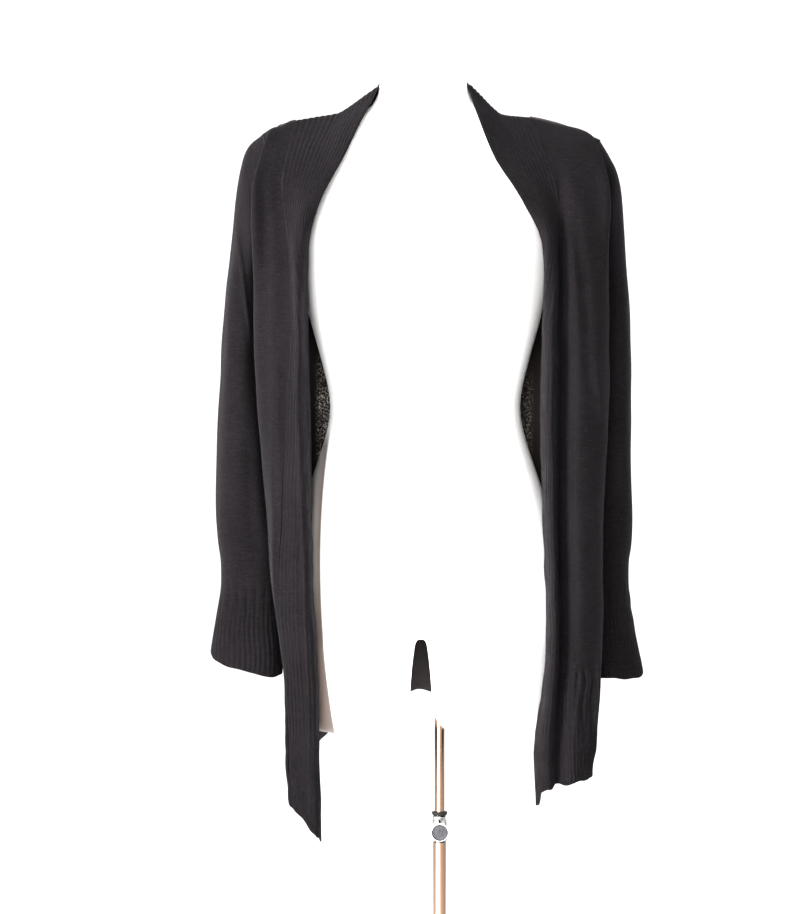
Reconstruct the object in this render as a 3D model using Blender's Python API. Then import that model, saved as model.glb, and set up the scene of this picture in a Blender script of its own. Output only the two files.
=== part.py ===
"""A long open-front knitted cardigan on a limbless dress form with a telescopic stand.

Metres, +Z up. The cardigan's front faces -Y and the wearer's left is +X. The origin lies on the
underside of the base plate, below the middle of the form.
"""
import math

import bmesh
import bpy
from mathutils import Vector

for old in list(bpy.data.objects):
    bpy.data.objects.remove(old, do_unlink=True)

# Cloth
WALL = 0.0020
SEAM_HALF = 0.00015
RIB_RISE = 0.0012
RIB_HALF_PITCH = 0.0043
ROLL_HALF = 0.0050
BAND_RIBS = 15
CUFF_RIB_SPLIT = 3

# Heights of the garment's rows, before each column is stretched to its own hem and shoulder
HEM = 0.62
RIB_TOP = 0.75
UNDERARM = 1.20
CHEST = 1.22
SHOULDER = 1.395
HEM_ROWS = 3
SIDE_ROWS = 8
ARMHOLE_ROWS = 8
NECK_ROWS = 6

# Stand
POLE_X = 0.0165
POLE = Vector((POLE_X, 0.0, 0.0))
ROD_RADIUS = 0.0057
ROD_BOTTOM = 0.200
ROD_DEPTH = 0.055
TUBE_RADIUS = 0.0076
TUBE_BORE = 0.0062
TUBE_TOP = 0.5650
BASE_RADIUS = 0.165
BASE_THICK = 0.008
BASE_EDGE = 0.004
FIT = 0.0003
BOSS_RADIUS = 0.016
BOSS_TOP = 0.030
BASE_SIDES = 48
CLAMP_RADIUS = 0.0082
CLAMP_TOP = 0.5945
RING_RADIUS = 0.0090
RING_THICK = 0.0045
CLAMP_BOSS = 0.0045
KNOB_HEIGHT = 0.5775
KNOB_RADIUS = 0.0102
KNOB_FACE = 0.0082
KNOB_BACK = 0.0125
KNOB_THICK = 0.0075
TURNED_SHARP = math.radians(40)
RIB_SHARP = math.radians(25)
PLAIN_SHARP = math.radians(60)


def material(name, colour, roughness, metallic=0.0):
    made = bpy.data.materials.new(name)
    made.use_nodes = True
    shader = made.node_tree.nodes["Principled BSDF"]
    shader.inputs["Base Color"].default_value = (*colour, 1.0)
    shader.inputs["Roughness"].default_value = roughness
    shader.inputs["Metallic"].default_value = metallic
    return made


KNIT = material("charcoal knit", (0.016, 0.014, 0.016), 0.95)
RIB = material("charcoal rib", (0.013, 0.012, 0.013), 0.95)
FORM = material("white form", (0.86, 0.85, 0.83), 0.45)
STEEL = material("warm nickel", (0.62, 0.50, 0.42), 0.25, 1.0)
CHROME = material("chrome", (0.80, 0.80, 0.80), 0.12, 1.0)
BLACK = material("black rubber", (0.02, 0.02, 0.02), 0.6)
KNOB = material("grey knob", (0.30, 0.30, 0.34), 0.5)


def add_object(name, points, faces, look, sharp=PLAIN_SHARP):
    """One closed, smooth-shaded object from its points and faces, with the faces turned outwards."""
    mesh = bpy.data.meshes.new(name)
    mesh.from_pydata([tuple(point) for point in points], [], faces)
    mesh.materials.append(look)
    shell = bmesh.new()
    shell.from_mesh(mesh)
    bmesh.ops.recalc_face_normals(shell, faces=shell.faces)
    shell.to_mesh(mesh)
    shell.free()
    mesh.shade_smooth()
    mesh.set_sharp_from_angle(angle=sharp)
    made = bpy.data.objects.new(name, mesh)
    bpy.context.scene.collection.objects.link(made)
    return made


def between(rows, height):
    """A smooth curve through rows of (height, value, ...), read at a height, as a list of values."""
    last = len(rows) - 1
    height = min(max(height, rows[0][0]), rows[last][0])
    low = max(i for i in range(last) if rows[i][0] <= height)

    def slope(i, k):
        before = rows[max(i - 1, 0)]
        after = rows[min(i + 1, last)]
        return (after[k] - before[k]) / (after[0] - before[0])

    step = rows[low + 1][0] - rows[low][0]
    t = (height - rows[low][0]) / step
    values = []
    for k in range(1, len(rows[0])):
        start, end = rows[low][k], rows[low + 1][k]
        rise = step * (t - 2 * t * t + t ** 3) * slope(low, k)
        fall = step * (t ** 3 - t * t) * slope(low + 1, k)
        ease = 3 * t * t - 2 * t ** 3
        values.append(start + (end - start) * ease + rise + fall)
    return values


def curve_through(controls):
    """A smooth curve through points: a function of the stretch's number and a share of its length."""
    along = [0.0]
    for first, second in zip(controls, controls[1:]):
        along.append(along[-1] + max((second - first).length, 1e-6) ** 0.7)
    rows = [(u, *point) for u, point in zip(along, controls)]

    def at(stretch, share):
        u = along[stretch] + (along[stretch + 1] - along[stretch]) * share
        return Vector(between(rows, u))

    return at


def even_points(points, count):
    """The same line divided into count equal lengths."""
    lengths = [0.0]
    for first, second in zip(points, points[1:]):
        lengths.append(lengths[-1] + (second - first).length)
    line = []
    i = 0
    for k in range(count + 1):
        want = lengths[-1] * k / count
        while i < len(points) - 2 and lengths[i + 1] < want:
            i += 1
        share = (want - lengths[i]) / (lengths[i + 1] - lengths[i])
        line.append(points[i].lerp(points[i + 1], min(share, 1.0)))
    return line


# The garment's body. Each row gives, for one height, how far out from the middle and how far
# behind (+) or before (-) the form's mid-plane each column lies: the free edge of the band, its
# rolled crest, the band seam, the fold beside it and the corner where the front turns to the side.
# Columns:    height  edge            crest           seam            fold            corner
RIGHT_FRONT = (
    (0.620, (0.1177, -0.058), (0.1235, -0.088), (0.1510, -0.090), (0.1525, -0.075), (0.1533, -0.040)),
    (0.750, (0.1215, -0.066), (0.1265, -0.100), (0.1580, -0.093), (0.1605, -0.083), (0.1610, -0.055)),
    (0.880, (0.1250, -0.069), (0.1310, -0.106), (0.1627, -0.097), (0.1710, -0.092), (0.1760, -0.068)),
    (1.050, (0.1295, -0.060), (0.1380, -0.108), (0.1555, -0.100), (0.1730, -0.092), (0.1890, -0.064)),
    (1.150, (0.1315, -0.060), (0.1395, -0.108), (0.1504, -0.099), (0.1720, -0.088), (0.1945, -0.062)),
    (1.240, (0.1315, -0.085), (0.1405, -0.110), (0.1535, -0.088), (0.1740, -0.084), (0.1958, -0.064)),
    (1.275, (0.1180, -0.102), (0.1370, -0.100), (0.1580, -0.080), (0.1755, -0.078), (0.1962, -0.062)),
    (1.310, (0.0935, -0.088), (0.1280, -0.085), (0.1610, -0.071), (0.1770, -0.068), (0.1940, -0.055)),
    (1.365, (0.0610, -0.030), (0.1050, -0.028), (0.1515, -0.020), (0.1670, -0.023), (0.1815, -0.026)),
    (1.395, (0.0545, -0.010), (0.0980, -0.008), (0.1480, -0.005), (0.1620, -0.005), (0.1760, -0.005)),
)
LEFT_FRONT = (
    (0.620, (0.1295, -0.060), (0.1380, -0.086), (0.1500, -0.077), (0.1660, -0.088), (0.1880, -0.060)),
    (0.750, (0.1345, -0.055), (0.1420, -0.094), (0.1520, -0.076), (0.1690, -0.096), (0.2000, -0.066)),
    (0.880, (0.1370, -0.050), (0.1435, -0.100), (0.1540, -0.075), (0.1705, -0.100), (0.2035, -0.070)),
    (1.050, (0.1300, -0.048), (0.1395, -0.102), (0.1540, -0.075), (0.1690, -0.100), (0.2095, -0.066)),
    (1.150, (0.1305, -0.052), (0.1395, -0.103), (0.1530, -0.075), (0.1680, -0.100), (0.2100, -0.065)),
    (1.240, (0.1300, -0.092), (0.1410, -0.108), (0.1515, -0.080), (0.1670, -0.098), (0.2083, -0.064)),
    (1.275, (0.1070, -0.103), (0.1320, -0.102), (0.1500, -0.084), (0.1660, -0.093), (0.2080, -0.062)),
    (1.310, (0.0770, -0.088), (0.1120, -0.090), (0.1435, -0.080), (0.1640, -0.080), (0.2060, -0.055)),
    (1.365, (0.0530, -0.028), (0.0905, -0.030), (0.1255, -0.024), (0.1510, -0.026), (0.1925, -0.028)),
    (1.395, (0.0515, -0.010), (0.0850, -0.008), (0.1185, -0.005), (0.1450, -0.005), (0.1760, -0.005)),
)
# Columns:   height  side, below the underarm
RIGHT_SIDE = (
    (0.620, (0.1520, 0.005)),
    (0.750, (0.1600, 0.005)),
    (0.880, (0.1720, 0.003)),
    (1.050, (0.1790, 0.005)),
    (1.150, (0.1810, 0.008)),
    (1.200, (0.1820, 0.010)),
)
LEFT_SIDE = (
    (0.620, (0.1680, 0.000)),
    (0.750, (0.1740, 0.000)),
    (0.880, (0.1780, 0.002)),
    (1.050, (0.1830, 0.005)),
    (1.150, (0.1840, 0.008)),
    (1.200, (0.1850, 0.010)),
)
# Columns:  height  blade, towards the side      spine, beside the middle   centre back
RIGHT_BACK = (
    (0.620, (0.1400, 0.075), (0.0800, 0.108), (0.0, 0.120)),
    (0.750, (0.1460, 0.080), (0.0820, 0.114), (0.0, 0.126)),
    (0.880, (0.1520, 0.085), (0.0850, 0.116), (0.0, 0.126)),
    (1.050, (0.1500, 0.075), (0.0800, 0.098), (0.0, 0.104)),
    (1.150, (0.1500, 0.075), (0.0800, 0.096), (0.0, 0.102)),
    (1.240, (0.1530, 0.080), (0.0800, 0.104), (0.0, 0.108)),
    (1.310, (0.1525, 0.074), (0.0800, 0.101), (0.0, 0.103)),
    (1.365, (0.1500, 0.022), (0.0780, 0.080), (0.0, 0.087)),
    (1.395, (0.1480, -0.005), (0.0750, 0.066), (0.0, 0.078)),
)
LEFT_BACK = (
    (0.620, (0.1460, 0.072), (0.0800, 0.108), (0.0, 0.120)),
    (0.750, (0.1500, 0.080), (0.0820, 0.114), (0.0, 0.126)),
    (0.880, (0.1540, 0.085), (0.0850, 0.116), (0.0, 0.126)),
    (1.050, (0.1500, 0.075), (0.0800, 0.098), (0.0, 0.104)),
    (1.150, (0.1500, 0.075), (0.0800, 0.096), (0.0, 0.102)),
    (1.240, (0.1520, 0.080), (0.0800, 0.104), (0.0, 0.108)),
    (1.310, (0.1480, 0.074), (0.0790, 0.101), (0.0, 0.103)),
    (1.365, (0.1320, 0.024), (0.0700, 0.080), (0.0, 0.087)),
    (1.395, (0.1185, -0.005), (0.0660, 0.066), (0.0, 0.078)),
)
# Where each column's line begins and ends: (height at the hem, height at the shoulder)
FRONT_COLUMNS = ("edge", "crest", "seam", "fold", "corner")
BACK_COLUMNS = ("blade", "spine", "centre")
RIGHT_ENDS = {
    "edge": (0.573, 1.431), "crest": (0.588, 1.406), "seam": (0.619, 1.393), "fold": (0.627, 1.388),
    "corner": (0.633, 1.384), "side": (0.640, 1.377), "blade": (0.652, 1.393), "spine": (0.710, 1.392),
    "centre": (0.729, 1.385),
}
LEFT_ENDS = {
    "edge": (0.620, 1.433), "crest": (0.634, 1.406), "seam": (0.640, 1.3965), "fold": (0.644, 1.391),
    "corner": (0.648, 1.382), "side": (0.660, 1.371), "blade": (0.692, 1.3965), "spine": (0.714, 1.393),
    "centre": (0.729, 1.385),
}
# The armhole is an oval from the underarm to the shoulder tip, bowed forward and back
ARMHOLE_FRONT = Vector((-0.005, -0.036, 0.0))
ARMHOLE_BACK = Vector((-0.014, 0.060, 0.0))
RIGHT_TIP = (0.187, -0.005)
LEFT_TIP = (0.200, -0.005)
# The band's free edge and middle behind the neck, from the shoulder to the centre back
# Columns:    share  edge: out, back, height      middle: out, back, height
RIGHT_NECK = (
    (0.0, (0.0545, -0.010, 1.4310), (0.0980, -0.008, 1.4060)),
    (0.5, (0.0450, 0.042, 1.4450), (0.0640, 0.052, 1.4170)),
    (1.0, (0.0, 0.062, 1.4520), (0.0, 0.0720, 1.4190)),
)
LEFT_NECK = (
    (0.0, (0.0515, -0.010, 1.4330), (0.0850, -0.008, 1.4060)),
    (0.5, (0.0430, 0.042, 1.4450), (0.0600, 0.052, 1.4170)),
    (1.0, (0.0, 0.062, 1.4520), (0.0, 0.0720, 1.4190)),
)
# Divisions of the cloth between neighbouring columns
FRONT_SPLIT = (3, 3, 3)
BACK_SPLIT = (9, 3, 3)
BAND_SPLIT = 2 * BAND_RIBS
BAND_PLAIN = 15
# Soft folds pressed into the fronts
# Columns:     place across  from   to     width  depth
RIGHT_FOLDS = (
    (0.42, 0.70, 1.10, 0.16, -0.0035),
    (0.70, 0.78, 1.30, 0.14, -0.0030),
)
LEFT_FOLDS = (
    (0.52, 0.66, 1.28, 0.13, -0.0050),
    (0.76, 0.95, 1.32, 0.12, -0.0030),
)


def column_height(ends, height):
    """A row's height on one column: its hem and shoulder are lower or higher than the row's."""
    hem, top = ends
    if height <= CHEST:
        return hem + (height - HEM) / (CHEST - HEM) * (CHEST - hem)
    t = (height - CHEST) / (SHOULDER - CHEST)
    return CHEST + (top - CHEST) * (t + t ** 3 * (1 - t))


def armhole_angle(height):
    share = (height - UNDERARM) / (SHOULDER - UNDERARM)
    return math.acos(1 - 2 * min(max(share, 0.0), 1.0))


class Side:
    """One side of the garment's body, with its columns read at any height."""

    def __init__(self, sign, front, side, back, ends, tip, neck, folds):
        self.sign = sign
        self.front = front
        self.side = side
        self.back = back
        self.ends = ends
        self.tip = tip
        self.neck = neck
        self.folds = folds

    def place(self, out, depth, height):
        return Vector((self.sign * out, depth, height))

    def column(self, table, number, name, height):
        rows = [(row[0], *row[1 + number]) for row in table]
        out, depth = between(rows, height)
        return self.place(out, depth, column_height(self.ends[name], height))

    def side_point(self, height, bow):
        """The side seam, or above the underarm one edge of the armhole."""
        if height <= UNDERARM:
            return self.column(self.side, 0, "side", height)
        low = self.column(self.side, 0, "side", UNDERARM)
        high = self.place(*self.tip, self.ends["side"][1])
        angle = armhole_angle(height)
        shift = self.place(bow.x, bow.y, 0.0) * math.sin(angle)
        return low.lerp(high, (1 - math.cos(angle)) / 2) + shift

    def section(self, height):
        """The cloth's line at a height: the band, the front and the half of the back."""
        front = [self.column(self.front, i, name, height) for i, name in enumerate(FRONT_COLUMNS)]
        back = [self.column(self.back, i, name, height) for i, name in enumerate(BACK_COLUMNS)]
        front_side = self.side_point(height, ARMHOLE_FRONT)
        back_side = self.side_point(height, ARMHOLE_BACK)
        mirrored = Vector((-back[1].x, back[1].y, back[1].z))
        roll = (front[2] - front[0]).normalized() * ROLL_HALF
        front[1:2] = [front[1] - roll, front[1] + roll]
        joined = height <= UNDERARM
        front_line = front + [front_side] + ([back[0]] if joined else [])
        back_line = ([front[-1]] if joined else []) + [back_side] + back + [mirrored]
        ahead = curve_through(front_line)
        behind = curve_through(back_line)
        band = [ahead(i, k / 8) for i in range(3) for k in range(8)] + [front[3]]
        panel = [front[3]]
        for i, split in enumerate(FRONT_SPLIT):
            panel += [ahead(3 + i, (k + 1) / split) for k in range(split)]
        half_back = [back_side]
        first = 1 if joined else 0
        for i, split in enumerate(BACK_SPLIT):
            half_back += [behind(first + i, (k + 1) / split) for k in range(split)]
        return even_points(band, BAND_SPLIT), self.folded(panel, height), half_back

    def folded(self, panel, height):
        """The front's line with its soft folds pressed in."""
        last = len(panel) - 1
        moved = list(panel)
        for place, low, high, width, depth in self.folds:
            if not low < height < high:
                continue
            fade = math.sin(math.pi * (height - low) / (high - low))
            for i in range(1, last):
                across = (panel[i + 1] - panel[i - 1]).normalized()
                inward = Vector((across.y, -across.x, 0.0)) * self.sign
                share = math.exp(-(((i / last) - place) / width) ** 2)
                moved[i] = moved[i] + inward * (depth * fade * share)
        return moved

    def neck_row(self, share, seam, below):
        """The band's line behind the neck."""
        past = [(2 - at, (-edge[0], *edge[1:]), (-middle[0], *middle[1:]))
                for at, edge, middle in reversed(self.neck[:-1])]
        rows = list(self.neck) + past
        edge = Vector(between([(row[0], *row[1]) for row in rows], share))
        middle = Vector(between([(row[0], *row[2]) for row in rows], share))
        edge.x *= self.sign
        middle.x *= self.sign
        line = curve_through([edge, middle, seam, below])
        return even_points([line(i, k / 12) for i in range(2) for k in range(12)] + [seam], BAND_SPLIT)


RIGHT = Side(-1, RIGHT_FRONT, RIGHT_SIDE, RIGHT_BACK, RIGHT_ENDS, RIGHT_TIP, RIGHT_NECK, RIGHT_FOLDS)
LEFT = Side(1, LEFT_FRONT, LEFT_SIDE, LEFT_BACK, LEFT_ENDS, LEFT_TIP, LEFT_NECK, LEFT_FOLDS)

ROW_HEIGHTS = [HEM + (RIB_TOP - HEM) * i / HEM_ROWS for i in range(HEM_ROWS)]
ROW_HEIGHTS += [RIB_TOP + (UNDERARM - RIB_TOP) * i / SIDE_ROWS for i in range(SIDE_ROWS)]
for step in range(ARMHOLE_ROWS + 1):
    rise = (1 - math.cos(math.pi * step / ARMHOLE_ROWS)) / 2
    ROW_HEIGHTS.append(UNDERARM + (SHOULDER - UNDERARM) * rise)
UNDERARM_ROW = HEM_ROWS + SIDE_ROWS
TOP_ROW = UNDERARM_ROW + ARMHOLE_ROWS


def body_grids(side):
    """The band's, front's and half back's rows of points, sharing the points of their seams."""
    band, front, back = [], [], []
    for height in ROW_HEIGHTS:
        strip, panel, half = side.section(height)
        band.append(strip)
        front.append(panel)
        back.append(half)
    shoulder = len(front[0])
    back[TOP_ROW][:shoulder] = reversed(front[TOP_ROW])
    for k in range(1, NECK_ROWS + 1):
        seam = back[TOP_ROW][shoulder - 1 + k]
        below = back[TOP_ROW - 1][shoulder - 1 + k]
        band.append(side.neck_row(k / NECK_ROWS, seam, below))
    return band, front, back


def key_of(point):
    return tuple(round(value * 1e6) for value in point)


def add_normals(found, grid, turn, wrap=False):
    """Adds each face's normal to its corners' sums, which neighbouring pieces share."""
    for low, high in zip(grid, grid[1:]):
        count = len(low)
        for i in range(count if wrap else count - 1):
            j = (i + 1) % count
            across = (low[j] - low[i] + high[j] - high[i]) / 2
            up = (high[i] - low[i] + high[j] - low[j]) / 2
            normal = up.cross(across) * turn
            for point in (low[i], low[j], high[i], high[j]):
                key = key_of(point)
                found[key] = found.get(key, Vector((0, 0, 0))) + normal


def normals_on(found, grid):
    return [[found[key_of(point)].normalized() for point in row] for row in grid]


def drawn_in(grid, edge, first=0, last=None):
    """A grid with one edge moved in by half a seam's gap. Edges: hem, top, start, end."""
    rows = [list(row) for row in grid]
    if edge in ("hem", "top"):
        here, inner = (0, 1) if edge == "hem" else (-1, -2)
        for i in range(len(rows[here])):
            way = (grid[inner][i] - grid[here][i]).normalized()
            rows[here][i] = rows[here][i] + way * SEAM_HALF
        return rows
    here, inner = (0, 1) if edge == "start" else (-1, -2)
    for i in range(first, len(rows) if last is None else last):
        way = (grid[i][inner] - grid[i][here]).normalized()
        rows[i][here] = rows[i][here] + way * SEAM_HALF
    return rows


def strip_faces(inner, outer, anchors):
    """Triangles between a line of few points and one of many, whose anchors lie beside the few."""
    faces = []
    for j in range(len(inner) - 1):
        start, end = anchors[j], anchors[j + 1]
        middle = (start + end) // 2
        for k in range(start, middle):
            faces.append((inner[j], outer[k], outer[k + 1]))
        faces.append((inner[j], outer[middle], inner[j + 1]))
        for k in range(middle, end):
            faces.append((inner[j + 1], outer[k], outer[k + 1]))
    return faces


def wall(name, look, outer, inner, anchors, wrap=False, sharp=PLAIN_SHARP):
    """A closed wall of cloth between an outer and an inner grid, whose rows have the same ends."""
    points, outer_ids, inner_ids = [], [], []
    for grid, ids in ((outer, outer_ids), (inner, inner_ids)):
        for row in grid:
            ids.append(list(range(len(points), len(points) + len(row))))
            points += row
    if wrap:
        for ids in (outer_ids, inner_ids):
            for row in ids:
                row.append(row[0])
    faces = []
    for ids in (outer_ids, inner_ids):
        for low, high in zip(ids, ids[1:]):
            for i in range(len(low) - 1):
                faces.append((low[i], low[i + 1], high[i + 1], high[i]))
    for row in (0, -1):
        faces += strip_faces(inner_ids[row], outer_ids[row], anchors)
    if not wrap:
        for i in range(len(outer) - 1):
            for end in (0, -1):
                faces.append((outer_ids[i][end], outer_ids[i + 1][end],
                              inner_ids[i + 1][end], inner_ids[i][end]))
    return add_object(name, points, faces, look, sharp)


def plain_wall(name, look, grid, normals):
    """A wall of even thickness behind a grid of outer points."""
    inner = [[p - n * WALL for p, n in zip(*pair)] for pair in zip(grid, normals)]
    return wall(name, look, grid, inner, range(len(grid[0])))


def ribbed_wall(name, look, grid, normals, splits, wrap=False):
    """A wall over a plain inside, with its outer points divided and every other one raised."""
    outer, inner = [], []
    for row, facing in zip(grid, normals):
        line = []
        for i, split in enumerate(splits):
            j = (i + 1) % len(row)
            for k in range(split):
                here = row[i].lerp(row[j], k / split)
                out = facing[i].lerp(facing[j], k / split).normalized()
                line.append(here + out * (RIB_RISE * (len(line) % 2)))
        if not wrap:
            line.append(row[-1])
        outer.append(line)
        inner.append([p - n * WALL for p, n in zip(row, facing)])
    anchors = [sum(splits[:i]) for i in range(len(splits) + 1)]
    return wall(name, look, outer, inner, anchors, wrap, RIB_SHARP)


def rib_splits(row, half_pitch):
    """How many half ribs each stretch of a row takes, with an even number in all."""
    splits = []
    carried = 0.0
    for first, second in zip(row, row[1:]):
        want = (second - first).length / half_pitch + carried
        splits.append(max(1, round(want)))
        carried = want - splits[-1]
    if sum(splits) % 2:
        splits[splits.index(max(splits))] += 1
    return splits


# The body's pieces
grids = {"right": body_grids(RIGHT), "left": body_grids(LEFT)}
shared = {}
for name, turn in (("right", 1), ("left", -1)):
    for grid in grids[name]:
        add_normals(shared, grid, turn)

for name in ("right", "left"):
    band, front, back = grids[name]

    # Band: ribs run along it, so every other column is raised, but not the one beside its seam
    facing = normals_on(shared, band)
    for normal in facing[-1]:
        normal.x = 0.0
    strip = drawn_in(drawn_in(band, "end"), "top")
    rises = [RIB_RISE if i % 2 and i < BAND_SPLIT - 1 else 0.0 for i in range(BAND_SPLIT + 1)]
    raised = [[p + n * rise for p, n, rise in zip(*pair, rises)] for pair in zip(strip, facing)]
    step = BAND_SPLIT // BAND_PLAIN
    lining = [[p - n * WALL for p, n in list(zip(*pair))[::step]] for pair in zip(strip, facing)]
    wall(f"band_{name}", RIB, raised, lining, range(0, BAND_SPLIT + 1, step), sharp=RIB_SHARP)

    # Front, above its hem rib
    facing = normals_on(shared, front)
    panel = drawn_in(drawn_in(front, "start"), "end", 0, UNDERARM_ROW + 1)
    rib = drawn_in(panel[:HEM_ROWS + 1], "top")
    splits = rib_splits(front[HEM_ROWS], RIB_HALF_PITCH)
    ribbed_wall(f"front_{name}_hem_rib", RIB, rib, facing[:HEM_ROWS + 1], splits)
    plain = drawn_in(drawn_in(panel[HEM_ROWS:], "hem"), "top")
    plain_wall(f"front_{name}", KNIT, plain, facing[HEM_ROWS:])

# The back, across both sides
right_back, left_back = grids["right"][2], grids["left"][2]
back = [first + second[-2::-1] for first, second in zip(right_back, left_back)]
facing = normals_on(shared, back)
panel = drawn_in(drawn_in(back, "start", 0, UNDERARM_ROW + 1), "end", 0, UNDERARM_ROW + 1)
rib = drawn_in(panel[:HEM_ROWS + 1], "top")
splits = rib_splits(back[HEM_ROWS], RIB_HALF_PITCH)
ribbed_wall("back_hem_rib", RIB, rib, facing[:HEM_ROWS + 1], splits)
plain_wall("back", KNIT, drawn_in(drawn_in(panel[HEM_ROWS:], "hem"), "top"), facing[HEM_ROWS:])

# Sleeves hang empty and flattened, as ovals between a point at the body and one at the outside
# Columns:      inner: out, height   outer: out, height   middle  half depth  front drop
RIGHT_SLEEVE = (
    ("cap one", 0.1850, 1.1990, 0.2036, 1.3640, 0.012, 0.044, 0.0),
    ("cap two", 0.1885, 1.1960, 0.2127, 1.3410, 0.014, 0.046, 0.0),
    ("cap three", 0.1905, 1.1890, 0.2187, 1.3040, 0.017, 0.049, 0.0),
    ("cap four", 0.1920, 1.1790, 0.2240, 1.2586, 0.021, 0.055, 0.0),
    ("cap five", 0.1930, 1.1660, 0.2320, 1.2006, 0.026, 0.062, 0.0),
    ("upper arm", 0.1935, 1.1450, 0.2360, 1.1550, 0.030, 0.066, 0.0),
    ("arm", 0.1920, 1.0960, 0.2380, 1.0960, 0.032, 0.064, 0.0),
    ("elbow", 0.1860, 1.0260, 0.2414, 1.0260, 0.034, 0.058, 0.0),
    ("forearm", 0.1800, 0.9570, 0.2438, 0.9570, 0.035, 0.050, 0.0),
    ("wrist", 0.1745, 0.9150, 0.2415, 0.9150, 0.035, 0.044, 0.0),
    ("cuff top", 0.1710, 0.8850, 0.2365, 0.8850, 0.035, 0.041, 0.0),
    ("cuff", 0.1690, 0.8520, 0.2356, 0.8520, 0.035, 0.040, 0.0),
    ("cuff turn", 0.1670, 0.8175, 0.2414, 0.8175, 0.034, 0.040, 0.002),
    ("cuff hem", 0.1650, 0.7650, 0.2472, 0.7850, 0.033, 0.042, 0.014),
)
LEFT_SLEEVE = (
    ("cap one", 0.1880, 1.1990, 0.2125, 1.3520, 0.012, 0.044, 0.0),
    ("cap two", 0.1910, 1.1960, 0.2215, 1.3320, 0.014, 0.046, 0.0),
    ("cap three", 0.1930, 1.1890, 0.2285, 1.2900, 0.017, 0.049, 0.0),
    ("cap four", 0.1945, 1.1790, 0.2325, 1.2450, 0.021, 0.055, 0.0),
    ("cap five", 0.1955, 1.1660, 0.2365, 1.1920, 0.026, 0.062, 0.0),
    ("upper arm", 0.1960, 1.1450, 0.2385, 1.1500, 0.030, 0.066, 0.0),
    ("arm", 0.1945, 1.0960, 0.2403, 1.0960, 0.032, 0.064, 0.0),
    ("elbow", 0.1915, 1.0260, 0.2403, 1.0260, 0.034, 0.058, 0.0),
    ("forearm", 0.1900, 0.9570, 0.2403, 0.9570, 0.035, 0.050, 0.0),
    ("wrist", 0.1860, 0.9100, 0.2390, 0.9100, 0.035, 0.044, 0.0),
    ("cuff top", 0.1820, 0.8850, 0.2350, 0.8850, 0.035, 0.041, 0.0),
    ("cuff", 0.1810, 0.8520, 0.2345, 0.8520, 0.035, 0.040, 0.0),
    ("cuff turn", 0.1800, 0.8175, 0.2403, 0.8175, 0.034, 0.040, 0.002),
    ("cuff hem", 0.1780, 0.7640, 0.2530, 0.7620, 0.033, 0.042, 0.010),
)
CUFF_ROWS = 4
RING = 2 * ARMHOLE_ROWS
SETTLE = (0.75, 0.5, 0.3, 0.12)
# Creases round the sleeves: angle from the inner side by way of the front, in turns
# Columns:      from turn  to turn  from row  to row  width  depth
RIGHT_CREASES = (
    (0.42, 0.30, 2, 8, 0.09, -0.0060),
    (0.30, 0.36, 6, 10, 0.08, -0.0035),
    (0.70, 0.66, 4, 9, 0.10, -0.0050),
)
LEFT_CREASES = (
    (0.38, 0.32, 3, 9, 0.09, -0.0050),
    (0.68, 0.70, 4, 9, 0.10, -0.0050),
)


def oval(sign, row):
    """One ring of a sleeve from its row."""
    name, in_out, in_height, out_out, out_height, middle, half, drop = row
    inner = Vector((sign * in_out, middle, in_height))
    outer = Vector((sign * out_out, middle, out_height))
    ring = []
    for k in range(RING):
        angle = 2 * math.pi * k / RING
        point = inner.lerp(outer, (1 - math.cos(angle)) / 2)
        forward = max(math.sin(angle), 0.0)
        ring.append(point + Vector((0, -half * math.sin(angle), -drop * forward)))
    return ring


def creased(rings, creases, sign):
    """The rings with their soft creases pressed in."""
    moved = [list(ring) for ring in rings]
    for start, end, low, high, width, depth in creases:
        for r in range(low, high + 1):
            share = (r - low) / (high - low)
            place = start + (end - start) * share
            fade = math.sin(math.pi * (0.08 + 0.84 * share))
            middle = sum(rings[r], Vector((0, 0, 0))) / RING
            for k in range(RING):
                away = abs((k / RING - place + 0.5) % 1.0 - 0.5)
                push = depth * fade * math.exp(-(away / width) ** 2)
                out = (rings[r][k] - middle).normalized()
                moved[r][k] = moved[r][k] + out * push
    return moved


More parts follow.
